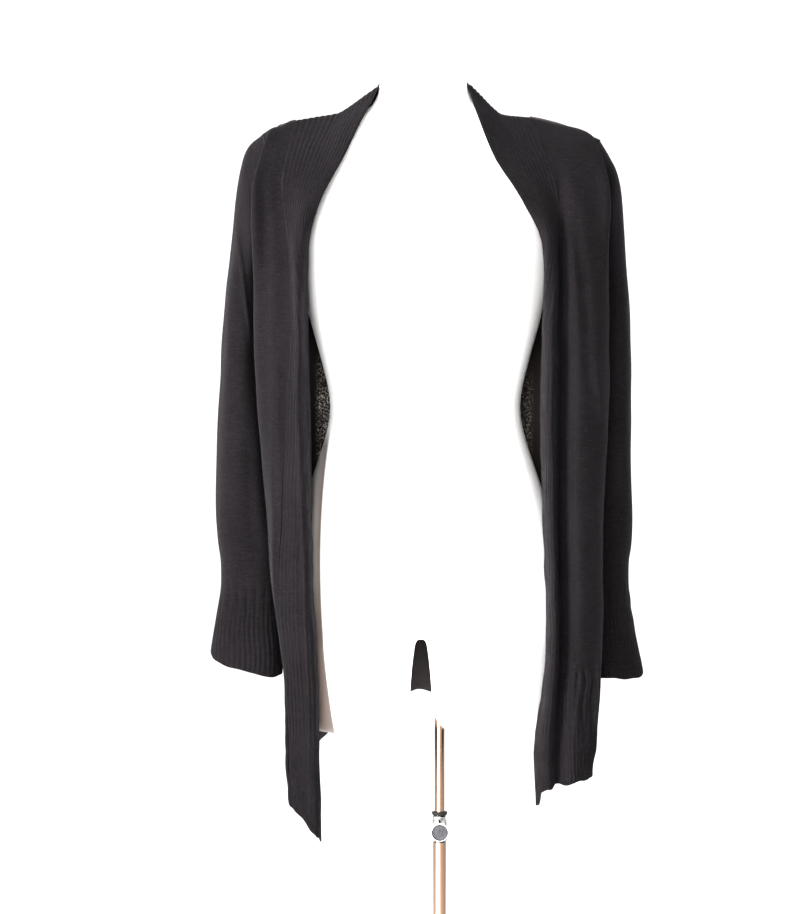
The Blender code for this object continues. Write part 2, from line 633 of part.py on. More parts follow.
for name, sign, table, creases in (("right", -1, RIGHT_SLEEVE, RIGHT_CREASES),
                                   ("left", 1, LEFT_SLEEVE, LEFT_CREASES)):
    band, front, back = grids[name]

    # The armhole's points, from the underarm up its front edge and down its back edge
    armhole = [front[r][-1] for r in range(UNDERARM_ROW, TOP_ROW + 1)]
    armhole += [back[r][0] for r in range(TOP_ROW - 1, UNDERARM_ROW, -1)]
    conormals = []
    for k, point in enumerate(armhole):
        along = armhole[(k + 1) % RING] - armhole[k - 1]
        conormals.append((along.cross(shared[key_of(point)]) * sign).normalized())
    start = [point + way * (2 * SEAM_HALF) for point, way in zip(armhole, conormals)]

    # The cap takes up the armhole's own shape step by step
    ovals = [oval(sign, row) for row in table]
    underarm, tip = armhole[0], armhole[ARMHOLE_ROWS]
    plain_row = ("armhole", abs(underarm.x), underarm.z, abs(tip.x), tip.z,
                 (underarm.y + tip.y) / 2, 0.056, 0.0)
    plain_ring = oval(sign, plain_row)
    rings = [start]
    for i, ring in enumerate(ovals):
        weight = SETTLE[i] if i < len(SETTLE) else 0.0
        rings.append([p + (a - b) * weight for p, a, b in zip(ring, armhole, plain_ring)])
    rings = creased(rings, creases, sign)
    own = {}
    add_normals(own, rings, sign, wrap=True)
    facing = normals_on(own, rings)
    for k, way in enumerate(conormals):
        facing[0][k] = (facing[0][k] - way * max(facing[0][k].dot(way), 0.0)).normalized()
    cut = len(rings) - CUFF_ROWS
    sleeve = drawn_in(rings[:cut + 1], "top")
    inner = [[p - n * WALL for p, n in zip(*pair)] for pair in zip(sleeve, facing)]
    wall(f"sleeve_{name}", KNIT, sleeve, inner, range(RING + 1), wrap=True)
    cuff = drawn_in(rings[cut:], "hem")
    ribbed_wall(f"cuff_{name}", RIB, cuff, facing[cut:], [CUFF_RIB_SPLIT] * RING, wrap=True)


# The dress form: rings from the neck down to the crotch, then two thigh stumps
# Columns: height  half width  front    back    middle
TORSO = (
    (1.4690, 0.0485, 0.050, 0.052, -0.0023),
    (1.4660, 0.0495, 0.051, 0.053, -0.0023),
    (1.4300, 0.0495, 0.051, 0.053, -0.0023),
    (1.4150, 0.0560, 0.048, 0.050, -0.0010),
    (1.4040, 0.0760, 0.041, 0.044, 0.0),
    (1.3960, 0.0985, 0.040, 0.046, 0.0),
    (1.3860, 0.1235, 0.044, 0.052, 0.0),
    (1.3740, 0.1450, 0.054, 0.061, 0.0),
    (1.3580, 0.1580, 0.062, 0.074, 0.0),
    (1.3350, 0.1630, 0.073, 0.087, 0.0),
    (1.3000, 0.1630, 0.085, 0.095, 0.0),
    (1.2600, 0.1560, 0.098, 0.097, 0.0),
    (1.2200, 0.1480, 0.100, 0.095, 0.0),
    (1.1600, 0.1330, 0.088, 0.090, 0.0),
    (1.1000, 0.1150, 0.080, 0.082, 0.0),
    (1.0550, 0.1065, 0.078, 0.075, 0.0),
    (1.0000, 0.1260, 0.084, 0.085, 0.0),
    (0.9400, 0.1460, 0.088, 0.104, 0.0),
    (0.8880, 0.1540, 0.088, 0.115, 0.0),
    (0.8400, 0.1550, 0.084, 0.110, 0.0),
    (0.8050, 0.1520, 0.082, 0.096, 0.0),
)
TORSO_SIDES = 24
GAP_MIDDLE = -0.0050
CROTCH_POINTS = 5
CROTCH_DIP = 0.004
# Columns: height  gap half  outer    front   back
THIGHS = (
    (0.7950, 0.0060, 0.1513, 0.081, 0.094),
    (0.7820, 0.0075, 0.1500, 0.080, 0.092),
    (0.7600, 0.0105, 0.1480, 0.078, 0.086),
    (0.7250, 0.0125, 0.1440, 0.075, 0.080),
    (0.7080, 0.0150, 0.1420, 0.072, 0.077),
    (0.6970, 0.0230, 0.1360, 0.065, 0.070),
    (0.6920, 0.0360, 0.1240, 0.052, 0.056),
)
THIGH_SQUARE = 0.9
INNER_TURN = math.radians(52)
BUST_OUT = 0.075
BUST_HEIGHT = 1.240
BUST_DEPTH = 0.034
BUST_WIDE = 0.045
BUST_TALL = 0.058
BORE_SIDES = 16


def torso_point(row, k):
    """A point of one ring of the torso, from the front round by the wearer's left to the back."""
    height, half, front, back, middle = row
    angle = 2 * math.pi * k / TORSO_SIDES
    out, ahead = math.sin(angle), math.cos(angle)
    x = half * math.copysign(abs(out) ** 0.92, out)
    y = -front * ahead if ahead > 0 else -back * ahead
    if ahead > 0:
        near = ((abs(x) - BUST_OUT) / BUST_WIDE) ** 2 + ((height - BUST_HEIGHT) / BUST_TALL) ** 2
        y -= BUST_DEPTH * math.exp(-near)
    return Vector((middle + x, y, height))


def build_torso():
    points, faces = [], []
    rings = []
    for row in TORSO:
        rings.append(list(range(len(points), len(points) + TORSO_SIDES)))
        points.extend(torso_point(row, k) for k in range(TORSO_SIDES))
    for high, low in zip(rings, rings[1:]):
        for k in range(TORSO_SIDES):
            j = (k + 1) % TORSO_SIDES
            faces.append((high[k], high[j], low[j], low[k]))
    faces.append(tuple(rings[0]))

    # The crotch is a line of points from the front to the back, shared by both thighs
    half = TORSO_SIDES // 2
    front, back = rings[-1][0], rings[-1][half]
    points[front].x = points[back].x = GAP_MIDDLE
    crotch = []
    for i in range(1, CROTCH_POINTS + 1):
        share = i / (CROTCH_POINTS + 1)
        point = points[front].lerp(points[back], share)
        point.z -= CROTCH_DIP * math.sin(math.pi * share)
        crotch.append(len(points))
        points.append(point)
    for sign in (1, -1):
        loop = [rings[-1][(sign * k) % TORSO_SIDES] for k in range(half + 1)] + crotch[::-1]
        count = len(loop)
        for height, gap, outer, ahead, behind in THIGHS:
            inner_x = GAP_MIDDLE + sign * gap
            outer_x = sign * outer
            ring = []
            for k in range(count):
                if k <= half:
                    angle = -INNER_TURN + (math.pi + 2 * INNER_TURN) * k / half
                else:
                    share = (k - half) / (CROTCH_POINTS + 1)
                    angle = math.pi + INNER_TURN + (math.pi - 2 * INNER_TURN) * share
                across, along = math.sin(angle), math.cos(angle)
                middle = (inner_x + outer_x) / 2
                reach = abs(outer_x - inner_x) / 2
                x = middle + sign * reach * math.copysign(abs(across) ** THIGH_SQUARE, across)
                y = -ahead * along if along > 0 else -behind * along
                ring.append(len(points))
                points.append(Vector((x, y, height)))
            for k in range(count):
                j = (k + 1) % count
                faces.append((loop[k], loop[j], ring[j], ring[k]))
            loop = ring
        faces.append(tuple(loop))
    return add_object("dress_form", points, faces, FORM)


def turned(name, look, profile, sides, centre=POLE, along_front=False):
    """A closed solid turned from (radius, distance) pairs that run round its section.

    It turns round +Z, or round -Y for a piece that points to the front.
    """

    def spot(radius, angle, distance):
        across, up = radius * math.cos(angle), radius * math.sin(angle)
        if along_front:
            return centre + Vector((across, -distance, up))
        return centre + Vector((across, up, distance))

    points, faces, rings = [], [], []
    for radius, distance in profile:
        if radius == 0:
            rings.append([len(points)] * sides)
            points.append(spot(0, 0, distance))
            continue
        rings.append(list(range(len(points), len(points) + sides)))
        points.extend(spot(radius, 2 * math.pi * (k + 0.5) / sides, distance) for k in range(sides))
    closed = profile[0][0] > 0 or profile[-1][0] > 0
    pairs = list(zip(rings, rings[1:])) + ([(rings[-1], rings[0])] if closed else [])
    for low, high in pairs:
        for k in range(sides):
            j = (k + 1) % sides
            corners = [low[k], low[j], high[j], high[k]]
            faces.append(tuple(dict.fromkeys(corners)))
    return add_object(name, points, faces, look, TURNED_SHARP)


def boolean(target, tool, operation):
    """Cuts or joins a hidden tool's shape with a piece."""
    tool.hide_render = True
    tool.display_type = "WIRE"
    made = target.modifiers.new(tool.name, "BOOLEAN")
    made.object = tool
    made.operation = operation


torso = build_torso()
bore_radius = ROD_RADIUS + 2 * FIT
thigh_foot = THIGHS[-1][0]
rod_top = thigh_foot + ROD_DEPTH
boolean(torso, turned("rod_bore", STEEL, ((0, thigh_foot - 0.02), (bore_radius, thigh_foot - 0.02),
                                          (bore_radius, rod_top), (0, rod_top)), BORE_SIDES),
        "DIFFERENCE")

# The stand: a rod that slides in a tube, gripped by a clamp with a knob, on a round base plate
rod = turned("upper_rod", STEEL, ((0, ROD_BOTTOM), (ROD_RADIUS, ROD_BOTTOM),
                                  (ROD_RADIUS, rod_top - FIT), (0, rod_top - FIT)), BORE_SIDES)
tube = turned("lower_tube", STEEL, ((TUBE_BORE, BASE_THICK + FIT), (TUBE_RADIUS, BASE_THICK + FIT),
                                    (TUBE_RADIUS, TUBE_TOP), (TUBE_BORE, TUBE_TOP)), BORE_SIDES)
plate = turned("base_plate", STEEL, (
    (0, 0), (BASE_RADIUS, 0), (BASE_RADIUS, BASE_THICK - BASE_EDGE), (BASE_RADIUS - BASE_EDGE, BASE_THICK),
    (BOSS_RADIUS + 0.004, BASE_THICK + 0.002), (BOSS_RADIUS, BASE_THICK + 0.006),
    (BOSS_RADIUS, BOSS_TOP - 0.002), (BOSS_RADIUS - 0.002, BOSS_TOP),
    (TUBE_RADIUS + FIT, BOSS_TOP), (TUBE_RADIUS + FIT, BASE_THICK), (0, BASE_THICK)), BASE_SIDES)

# The clamp's sleeve sits on the tube's mouth, with a black ring over it and a boss for the knob
clamp_foot = TUBE_TOP + FIT
clamp = turned("rod_clamp", CHROME, (
    (TUBE_BORE, clamp_foot), (CLAMP_RADIUS - 0.0010, clamp_foot), (CLAMP_RADIUS, clamp_foot + 0.001),
    (CLAMP_RADIUS, CLAMP_TOP - 0.001), (CLAMP_RADIUS - 0.001, CLAMP_TOP), (TUBE_BORE, CLAMP_TOP)),
    BORE_SIDES)
knob_axis = Vector((POLE_X, 0, KNOB_HEIGHT))
boolean(clamp, turned("clamp_boss", CHROME, ((0, CLAMP_RADIUS - 0.0012), (CLAMP_BOSS, CLAMP_RADIUS - 0.0012),
                                             (CLAMP_BOSS, KNOB_BACK - FIT), (0, KNOB_BACK - FIT)),
                      BORE_SIDES, knob_axis, along_front=True), "UNION")
ring_foot = CLAMP_TOP + FIT
ring = turned("rod_ring", BLACK, (
    (TUBE_BORE, ring_foot), (CLAMP_RADIUS, ring_foot), (RING_RADIUS, ring_foot + RING_THICK * 0.4),
    (RING_RADIUS, ring_foot + RING_THICK), (TUBE_BORE, ring_foot + RING_THICK)), BORE_SIDES)
knob = turned("clamp_knob", KNOB, (
    (0, KNOB_BACK), (KNOB_RADIUS - 0.001, KNOB_BACK), (KNOB_RADIUS, KNOB_BACK + 0.001),
    (KNOB_RADIUS, KNOB_BACK + KNOB_THICK - 0.0015), (KNOB_RADIUS - 0.0015, KNOB_BACK + KNOB_THICK),
    (KNOB_FACE, KNOB_BACK + KNOB_THICK), (KNOB_FACE - 0.0005, KNOB_BACK + KNOB_THICK - 0.0010),
    (0, KNOB_BACK + KNOB_THICK - 0.0010)), BORE_SIDES, knob_axis, along_front=True)


def hang_on(name, place, pieces):
    """Puts pieces under an empty on their joint's axis, without moving them."""
    empty = bpy.data.objects.new(name, None)
    bpy.context.scene.collection.objects.link(empty)
    empty.location = place
    for piece in pieces:
        piece.parent = empty
        piece.location = -place


meshes = [piece for piece in bpy.data.objects if piece.type == "MESH"]
cloth = [piece for piece in meshes if piece.data.materials[0] in (KNIT, RIB)]
hang_on("height slide axis", Vector((POLE_X, 0, 0)), [rod])
hang_on("form swivel axis", Vector((POLE_X, 0, 0)), [torso, bpy.data.objects["rod_bore"]] + cloth)
hang_on("knob axis", knob_axis, [knob])
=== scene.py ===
"""A long open-front black cardigan on a white limbless form, on a telescopic stand."""
import math

import bmesh
import bpy
import numpy as np
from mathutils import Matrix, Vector, noise


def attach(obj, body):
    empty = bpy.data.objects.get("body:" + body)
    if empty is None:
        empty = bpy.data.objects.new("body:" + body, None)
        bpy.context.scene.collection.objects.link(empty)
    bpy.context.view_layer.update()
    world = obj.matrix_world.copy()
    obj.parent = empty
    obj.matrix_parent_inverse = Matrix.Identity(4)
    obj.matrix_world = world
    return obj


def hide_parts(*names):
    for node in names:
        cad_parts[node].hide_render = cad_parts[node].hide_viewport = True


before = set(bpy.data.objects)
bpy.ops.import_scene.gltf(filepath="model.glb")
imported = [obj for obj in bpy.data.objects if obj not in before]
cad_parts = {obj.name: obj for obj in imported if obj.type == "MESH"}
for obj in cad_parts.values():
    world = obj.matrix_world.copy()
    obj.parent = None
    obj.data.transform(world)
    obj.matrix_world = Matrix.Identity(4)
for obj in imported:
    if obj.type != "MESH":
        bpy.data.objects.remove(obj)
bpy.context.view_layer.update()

# The room is a white studio with a pale floor that runs into a white world. Softboxes stand before
# the wearer's right, in front, before the left and behind, and the camera is level.
VIEW_HEIGHT = 1.051
CAMERA_PLACE = Vector((-0.029, -3.2, 1.007))
FLOOR_RADIUS = 14.0
WORLD_LIGHT = 0.7
EXPOSURE = 0.25
# Columns:  name        place                 aims at             size  watts
SOFTBOXES = (
    ("key", (-2.6, -2.8, 1.8), (0.0, 0.0, 1.1), 1.5, 290.0),
    ("front", (-0.6, -4.4, 1.6), (0.0, 0.0, 1.0), 1.6, 170.0),
    ("fill", (2.8, -2.2, 1.5), (0.0, 0.0, 1.0), 1.8, 6.0),
    ("back", (0.6, 2.8, 2.4), (0.0, 0.0, 1.1), 1.6, 60.0),
)

lens_holder = bpy.data.cameras.new("camera")
lens_holder.lens = lens_holder.sensor_width * -CAMERA_PLACE.y / VIEW_HEIGHT
camera = bpy.data.objects.new("camera", lens_holder)
camera.location = CAMERA_PLACE
camera.rotation_euler = (math.radians(90), 0, 0)
bpy.context.scene.collection.objects.link(camera)
bpy.context.scene.camera = camera
bpy.context.scene.view_settings.view_transform = "Standard"
bpy.context.scene.view_settings.look = "High Contrast"
bpy.context.scene.view_settings.exposure = EXPOSURE

world = bpy.data.worlds.new("white world")
world.use_nodes = True
world.node_tree.nodes["Background"].inputs["Color"].default_value = (1.0, 1.0, 1.0, 1.0)
world.node_tree.nodes["Background"].inputs["Strength"].default_value = WORLD_LIGHT
bpy.context.scene.world = world

for name, place, aim, size, watts in SOFTBOXES:
    lamp = bpy.data.lights.new(name, "AREA")
    lamp.size = size
    lamp.energy = watts
    box = bpy.data.objects.new(name, lamp)
    box.location = place
    box.rotation_euler = (Vector(aim) - Vector(place)).to_track_quat("-Z", "Y").to_euler()
    bpy.context.scene.collection.objects.link(box)


class Wire:
    """One output of a material's nodes: sums with it add Math nodes."""

    def __init__(self, look, socket):
        self.look = look
        self.socket = socket

    def maths(self, operation, *values):
        return self.look.add("ShaderNodeMath", {"operation": operation}, dict(enumerate((self, *values))))

    def __add__(self, other):
        return self.maths("ADD", other)

    def __sub__(self, other):
        return self.maths("SUBTRACT", other)

    def __rsub__(self, other):
        return self.maths("MULTIPLY", -1.0).maths("ADD", other)

    def __mul__(self, other):
        return self.maths("MULTIPLY", other)

    def __pow__(self, other):
        return self.maths("POWER", other)

    def __mod__(self, other):
        return self.maths("FLOORED_MODULO", other)

    def __abs__(self):
        return self.maths("ABSOLUTE")


class Look:
    """A material with its nodes. add() makes one node and gives one of its outputs as a Wire."""

    def __init__(self, name, colour, roughness, metallic=0.0, sheen=0.0):
        self.material = bpy.data.materials.new(name)
        self.material.use_nodes = True
        self.tree = self.material.node_tree
        self.shader = self.tree.nodes["Principled BSDF"]
        self.shader.inputs["Base Color"].default_value = (*colour, 1.0)
        self.shader.inputs["Roughness"].default_value = roughness
        self.shader.inputs["Metallic"].default_value = metallic
        self.shader.inputs["Sheen Weight"].default_value = sheen

    def add(self, kind, settings=None, inputs=None, output=0):
        node = self.tree.nodes.new(kind)
        for key, value in (settings or {}).items():
            setattr(node, key, value)
        for key, value in (inputs or {}).items():
            self.join(node.inputs[key], value)
        return Wire(self, node.outputs[output])

    def join(self, socket, value):
        if isinstance(value, Wire):
            self.tree.links.new(value.socket, socket)
        else:
            socket.default_value = value

    def uv(self):
        """The piece's own flat coordinates, in metres: across its wales and along them."""
        flat = self.add("ShaderNodeUVMap")
        return (self.add("ShaderNodeSeparateXYZ", None, {0: flat}),
                self.add("ShaderNodeSeparateXYZ", None, {0: flat}, 1))

    def place(self, axis=None):
        """The point's place in the frame, or one of its coordinates, in metres."""
        point = self.add("ShaderNodeTexCoord", None, None, "Object")
        return point if axis is None else self.add("ShaderNodeSeparateXYZ", None, {0: point}, axis)

    def noise(self, scale, detail=2.0):
        return self.add("ShaderNodeTexNoise", None,
                        {"Vector": self.place(), "Scale": scale, "Detail": detail})

    def ramp(self, value, low, high):
        """0 below low, 1 above high and even between them."""
        return self.add("ShaderNodeMapRange", None, {"Value": value, "From Min": low, "From Max": high})

    def mixed(self, share, first, second):
        """A colour between two others, each a Wire or its red, green and blue."""
        first, second = (value if isinstance(value, Wire) else (*value, 1.0) for value in (first, second))
        return self.add("ShaderNodeMix", {"data_type": "RGBA"}, {0: share, 6: first, 7: second}, 2)

    def bump(self, height, distance, strength=1.0, under=None):
        inputs = {"Height": height, "Distance": distance, "Strength": strength}
        if under:
            inputs["Normal"] = under
        return self.add("ShaderNodeBump", None, inputs)

    def set(self, **inputs):
        for key, value in inputs.items():
            self.join(self.shader.inputs[key.replace("_", " ")], value)
        return self.material


floor_look = Look("pale floor", (0.97, 0.97, 0.97), 0.8)
bpy.ops.mesh.primitive_circle_add(vertices=96, radius=FLOOR_RADIUS, fill_type="NGON")
floor = bpy.context.object
floor.name = "floor"
floor.data.materials.append(floor_look.material)

# The dress form is a moulded foam body with a neck and two thigh stumps, under a smooth white
# stretch cover that is pulled over it. It stands on the stand's upper rod. Its rings are read
# from these tables, front and back apart.
# Columns: height  half width  front    back    middle
TORSO = (
    (1.4690, 0.0485, 0.050, 0.052, -0.0023),
    (1.4660, 0.0495, 0.051, 0.053, -0.0023),
    (1.4300, 0.0495, 0.051, 0.053, -0.0023),
    (1.4150, 0.0575, 0.048, 0.050, -0.0010),
    (1.4040, 0.0690, 0.041, 0.044, 0.0),
    (1.3960, 0.0940, 0.040, 0.046, 0.0),
    (1.3860, 0.1235, 0.044, 0.052, 0.0),
    (1.3740, 0.1450, 0.054, 0.061, 0.0),
    (1.3580, 0.1580, 0.062, 0.074, 0.0),
    (1.3350, 0.1630, 0.073, 0.087, 0.0),
    (1.3000, 0.1630, 0.085, 0.095, 0.0),
    (1.2600, 0.1560, 0.098, 0.097, 0.0),
    (1.2200, 0.1480, 0.100, 0.095, 0.0),
    (1.1600, 0.1330, 0.088, 0.090, 0.0),
    (1.1000, 0.1150, 0.080, 0.082, 0.0),
    (1.0550, 0.1065, 0.078, 0.075, 0.0),
    (1.0000, 0.1260, 0.084, 0.085, 0.0),
    (0.9400, 0.1460, 0.088, 0.104, 0.0),
    (0.8880, 0.1540, 0.088, 0.115, 0.0),
    (0.8400, 0.1550, 0.084, 0.110, 0.0),
    (0.8050, 0.1520, 0.082, 0.096, 0.0),
)
# Columns: height  gap half  outer    front   back
THIGHS = (
    (0.7950, 0.0060, 0.1513, 0.081, 0.094),
    (0.7820, 0.0075, 0.1500, 0.080, 0.092),
    (0.7600, 0.0105, 0.1480, 0.078, 0.086),
    (0.7250, 0.0125, 0.1440, 0.075, 0.080),
    (0.7080, 0.0150, 0.1420, 0.072, 0.077),
    (0.6970, 0.0230, 0.1360, 0.065, 0.070),
    (0.6920, 0.0360, 0.1240, 0.052, 0.056),
)
TORSO_SIDES = 24
GAP_MIDDLE = -0.0050
CROTCH_POINTS = 5
CROTCH_DIP = 0.004
TORSO_SQUARE = 0.92
THIGH_SQUARE = 0.9
INNER_TURN = math.radians(52)
BUST_OUT = 0.075
BUST_HEIGHT = 1.240
BUST_DEPTH = 0.034
BUST_WIDE = 0.045
BUST_TALL = 0.058


def placed(name, mesh, body):
    """A smooth-shaded piece that rides on a body."""
    mesh.shade_smooth()
    made = bpy.data.objects.new(name, mesh)
    bpy.context.scene.collection.objects.link(made)
    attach(made, body)
    return made


def link(name, mesh, looks, body):
    """A finished mesh as a piece that faces outwards, with its materials."""
    for look in looks:
        mesh.materials.append(look)
    shell = bmesh.new()
    shell.from_mesh(mesh)
    bmesh.ops.remove_doubles(shell, verts=shell.verts, dist=1e-6)
    bmesh.ops.recalc_face_normals(shell, faces=shell.faces)
    shell.to_mesh(mesh)
    shell.free()
    return placed(name, mesh, body)


def torso_point(row, k):
    """A point of one ring of the torso, from the front round by the wearer's left to the back."""
    height, half, front, back, middle = row
    angle = 2 * math.pi * k / TORSO_SIDES
    out, ahead = math.sin(angle), math.cos(angle)
    x = half * math.copysign(abs(out) ** TORSO_SQUARE, out)
    y = -front * ahead if ahead > 0 else -back * ahead
    if ahead > 0:
        near = ((abs(x) - BUST_OUT) / BUST_WIDE) ** 2 + ((height - BUST_HEIGHT) / BUST_TALL) ** 2
        y -= BUST_DEPTH * math.exp(-near)
    return Vector((middle + x, y, height))


def thigh_point(row, k, sign):
    """A point of one ring of a thigh stump, in the order of the torso's last ring and the crotch."""
    height, gap, outer, ahead, behind = row
    half = TORSO_SIDES // 2
    if k <= half:
        angle = -INNER_TURN + (math.pi + 2 * INNER_TURN) * k / half
    else:
        share = (k - half) / (CROTCH_POINTS + 1)
        angle = math.pi + INNER_TURN + (math.pi - 2 * INNER_TURN) * share
    inner_x = GAP_MIDDLE + sign * gap
    outer_x = sign * outer
    across, along = math.sin(angle), math.cos(angle)
    reach = abs(outer_x - inner_x) / 2
    x = (inner_x + outer_x) / 2 + sign * reach * math.copysign(abs(across) ** THIGH_SQUARE, across)
    return Vector((x, -ahead * along if along > 0 else -behind * along, height))


points, faces, rings = [], [], []
for row in TORSO:
    rings.append(list(range(len(points), len(points) + TORSO_SIDES)))
    points.extend(torso_point(row, k) for k in range(TORSO_SIDES))
for high, low in zip(rings, rings[1:]):
    for k in range(TORSO_SIDES):
        j = (k + 1) % TORSO_SIDES
        faces.append((high[k], high[j], low[j], low[k]))
faces.append(tuple(rings[0]))
half = TORSO_SIDES // 2
front_point, back_point = rings[-1][0], rings[-1][half]
points[front_point].x = points[back_point].x = GAP_MIDDLE
crotch = []
for i in range(1, CROTCH_POINTS + 1):
    share = i / (CROTCH_POINTS + 1)
    crotch.append(len(points))
    dip = Vector((0, 0, CROTCH_DIP * math.sin(math.pi * share)))
    points.append(points[front_point].lerp(points[back_point], share) - dip)
for sign in (1, -1):
    loop = [rings[-1][(sign * k) % TORSO_SIDES] for k in range(half + 1)] + crotch[::-1]
    for row in THIGHS:
        ring = list(range(len(points), len(points) + len(loop)))
        points.extend(thigh_point(row, k, sign) for k in range(len(loop)))
        for k in range(len(loop)):
            j = (k + 1) % len(loop)
            faces.append((loop[k], loop[j], ring[j], ring[k]))
        loop = ring
    faces.append(tuple(loop))

COVER = (0.92, 0.915, 0.90)
# Painted shade: a warm grey strip on the right hip, where the band's edge shades the form, lighter further
# in. Its own edge is a bow in height.
HIP_PAINTED_SHADE = (0.205, 0.168, 0.150)
HIP_SHADE_MIDDLE = 0.888
HIP_SHADE_BOW = 0.45
HIP_SHADE_EDGE = (-0.1180, -0.1200)
HIP_SHADE_INNER = (-0.1205, -0.1270)
HIP_SHADE_TOP = (1.045, 1.020)
cover = Look("white stretch cover", COVER, 0.62, sheen=0.15)
cover_height = cover.place(2)
from_middle = cover_height - HIP_SHADE_MIDDLE
aside = cover.place(0) - from_middle * from_middle * HIP_SHADE_BOW
inner = cover.ramp(aside, *HIP_SHADE_INNER) * cover.ramp(cover_height, 0.80, 0.88)
# The strip's grey is painted shade from the band, not rubbing.
hip_shade = (cover.ramp(aside, *HIP_SHADE_EDGE) - inner * 0.30) * cover.ramp(cover_height, *HIP_SHADE_TOP)
cover.set(Base_Color=cover.mixed(hip_shade, COVER, HIP_PAINTED_SHADE),
          Normal=cover.bump(cover.noise(900.0), 0.0002, 0.4))
form_mesh = bpy.data.meshes.new("form_body")
form_mesh.from_pydata([tuple(point) for point in points], [], faces)
form = link("form_body", form_mesh, [cover.material], "form")
rounding = form.modifiers.new("rounding", "SUBSURF")
rounding.levels = 2
rounding.render_levels = 2
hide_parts("dress_form")

# The yarn is a fine black wool mix, machine-knitted. Its face shows rows of small V stitches, worn
# paler in places, and its reverse shows short purl bumps. The stitches are too small to be form.
STITCH_WIDE = 0.0025
STITCH_TALL = 0.0021
STITCH_SLANT = 0.9
BLACK = (0.0068, 0.0058, 0.0066)
WORN_BLACK = (0.0162, 0.0140, 0.0158)
LINT = (0.06, 0.055, 0.055)
GROOVE_SHADE = (0.0020, 0.0015, 0.0015)
REVERSE = (0.052, 0.043, 0.041)
PAINTED_BACKLIGHT_SPECK = (0.72, 0.69, 0.64)
REVERSE_LOW = (0.045, 0.040, 0.040)
REVERSE_LOW_HEIGHT = (0.86, 0.74)
COURSE_WIDE = 60.0
COURSE_TALL = 480.0
# Where light through the back is painted as pale specks: its bottom, its top, its side limit and its weaker
# left
BACKLIT_BOTTOM = (0.98, 1.03)
BACKLIT_TOP = (1.135, 1.085)
BACKLIT_SIDE = (0.1295, 0.1240)
BACKLIT_LEFT = (0.28, -0.10)


def knit_look(name, lint):
    """The face of the knit, with its stitches as bump and a few specks of lint."""
    look = Look(name, BLACK, 0.92, sheen=0.07)
    look.shader.inputs["Sheen Roughness"].default_value = 0.4
    look.shader.inputs["Sheen Tint"].default_value = (0.55, 0.51, 0.56, 1.0)
    look.shader.inputs["Specular IOR Level"].default_value = 0.12
    across, along = look.uv()
    side = abs((across * (1 / STITCH_WIDE)) % 1.0 - 0.5)
    step = (along * (1 / STITCH_TALL) + side * STITCH_SLANT) % 1.0
    leg = 1.0 - ((side - 0.25) * 4.0) ** 2.0
    loop_height = 1.0 - abs(step * 2.0 - 1.0) ** 3.0
    height = leg * 0.55 + loop_height * 0.45
    patches = look.ramp(look.noise(14.0, 3.0), 0.35, 0.7)
    course_place = look.add("ShaderNodeCombineXYZ", None, {0: across * COURSE_WIDE, 1: along * COURSE_TALL})
    course = look.add("ShaderNodeTexNoise", None, {"Vector": course_place, "Scale": 1.0, "Detail": 1.0})
    grain = look.ramp(look.noise(430.0, 1.0), 0.35, 0.65)
    uneven = patches * 0.3 + look.ramp(course, 0.36, 0.64) * 0.3 + grain * 0.4
    fleck = look.ramp(look.noise(520.0, 1.0), 0.79, 0.84)
    tone = look.mixed(uneven, BLACK, WORN_BLACK)
    # The grooves between the stitches are darkened with painted shade.
    tone = look.mixed(look.ramp(height, 0.05, 0.80), GROOVE_SHADE, tone)
    tone = look.mixed(fleck * lint, tone, LINT)
    stitches = look.bump(height, 0.0004, 0.7)
    return look.set(Base_Color=tone, Normal=look.bump(look.noise(2400.0), 0.0003, 0.35, stitches))


def reverse_look(name):
    """The wrong side of the knit: short flat bumps, with light through it painted as pale specks at the
    waist.
    """
    look = Look(name, REVERSE, 0.95, sheen=0.1)
    look.shader.inputs["Specular IOR Level"].default_value = 0.12
    across, along = look.uv()
    row = along * (1 / STITCH_TALL)
    odd = abs(row * 0.5 % 1.0 - 0.5)
    cell = (across * (1 / STITCH_WIDE) + look.ramp(odd, 0.24, 0.26) * 0.5) % 1.0
    bump_height = (1.0 - abs(cell * 2.0 - 1.0) ** 2.0) * (1.0 - abs(row % 1.0 * 2.0 - 1.0) ** 2.0)
    aside, height = look.place(0), look.place(2)
    speck = look.ramp(look.noise(520.0, 3.0), 0.47, 0.60) * look.ramp(look.noise(48.0), 0.12, 0.52)
    speck = speck * look.ramp(bump_height, -0.3, 0.5)
    thin = look.ramp(height, *BACKLIT_BOTTOM) * look.ramp(height, *BACKLIT_TOP)
    thin = thin * look.ramp(aside, *BACKLIT_LEFT) * look.ramp(abs(aside), *BACKLIT_SIDE)
    tone = look.mixed(look.ramp(height, *REVERSE_LOW_HEIGHT), REVERSE, REVERSE_LOW)
    # The pale specks are painted light that shines through the knit from behind.
    tone = look.mixed(speck * thin, tone, PAINTED_BACKLIGHT_SPECK)
    return look.set(Base_Color=tone, Normal=look.bump(bump_height, 0.0005, 0.8))


plain_face = knit_look("plain knit face", 1.0)
rib_face = knit_look("rib knit face", 0.8)
reverse_face = reverse_look("knit reverse")

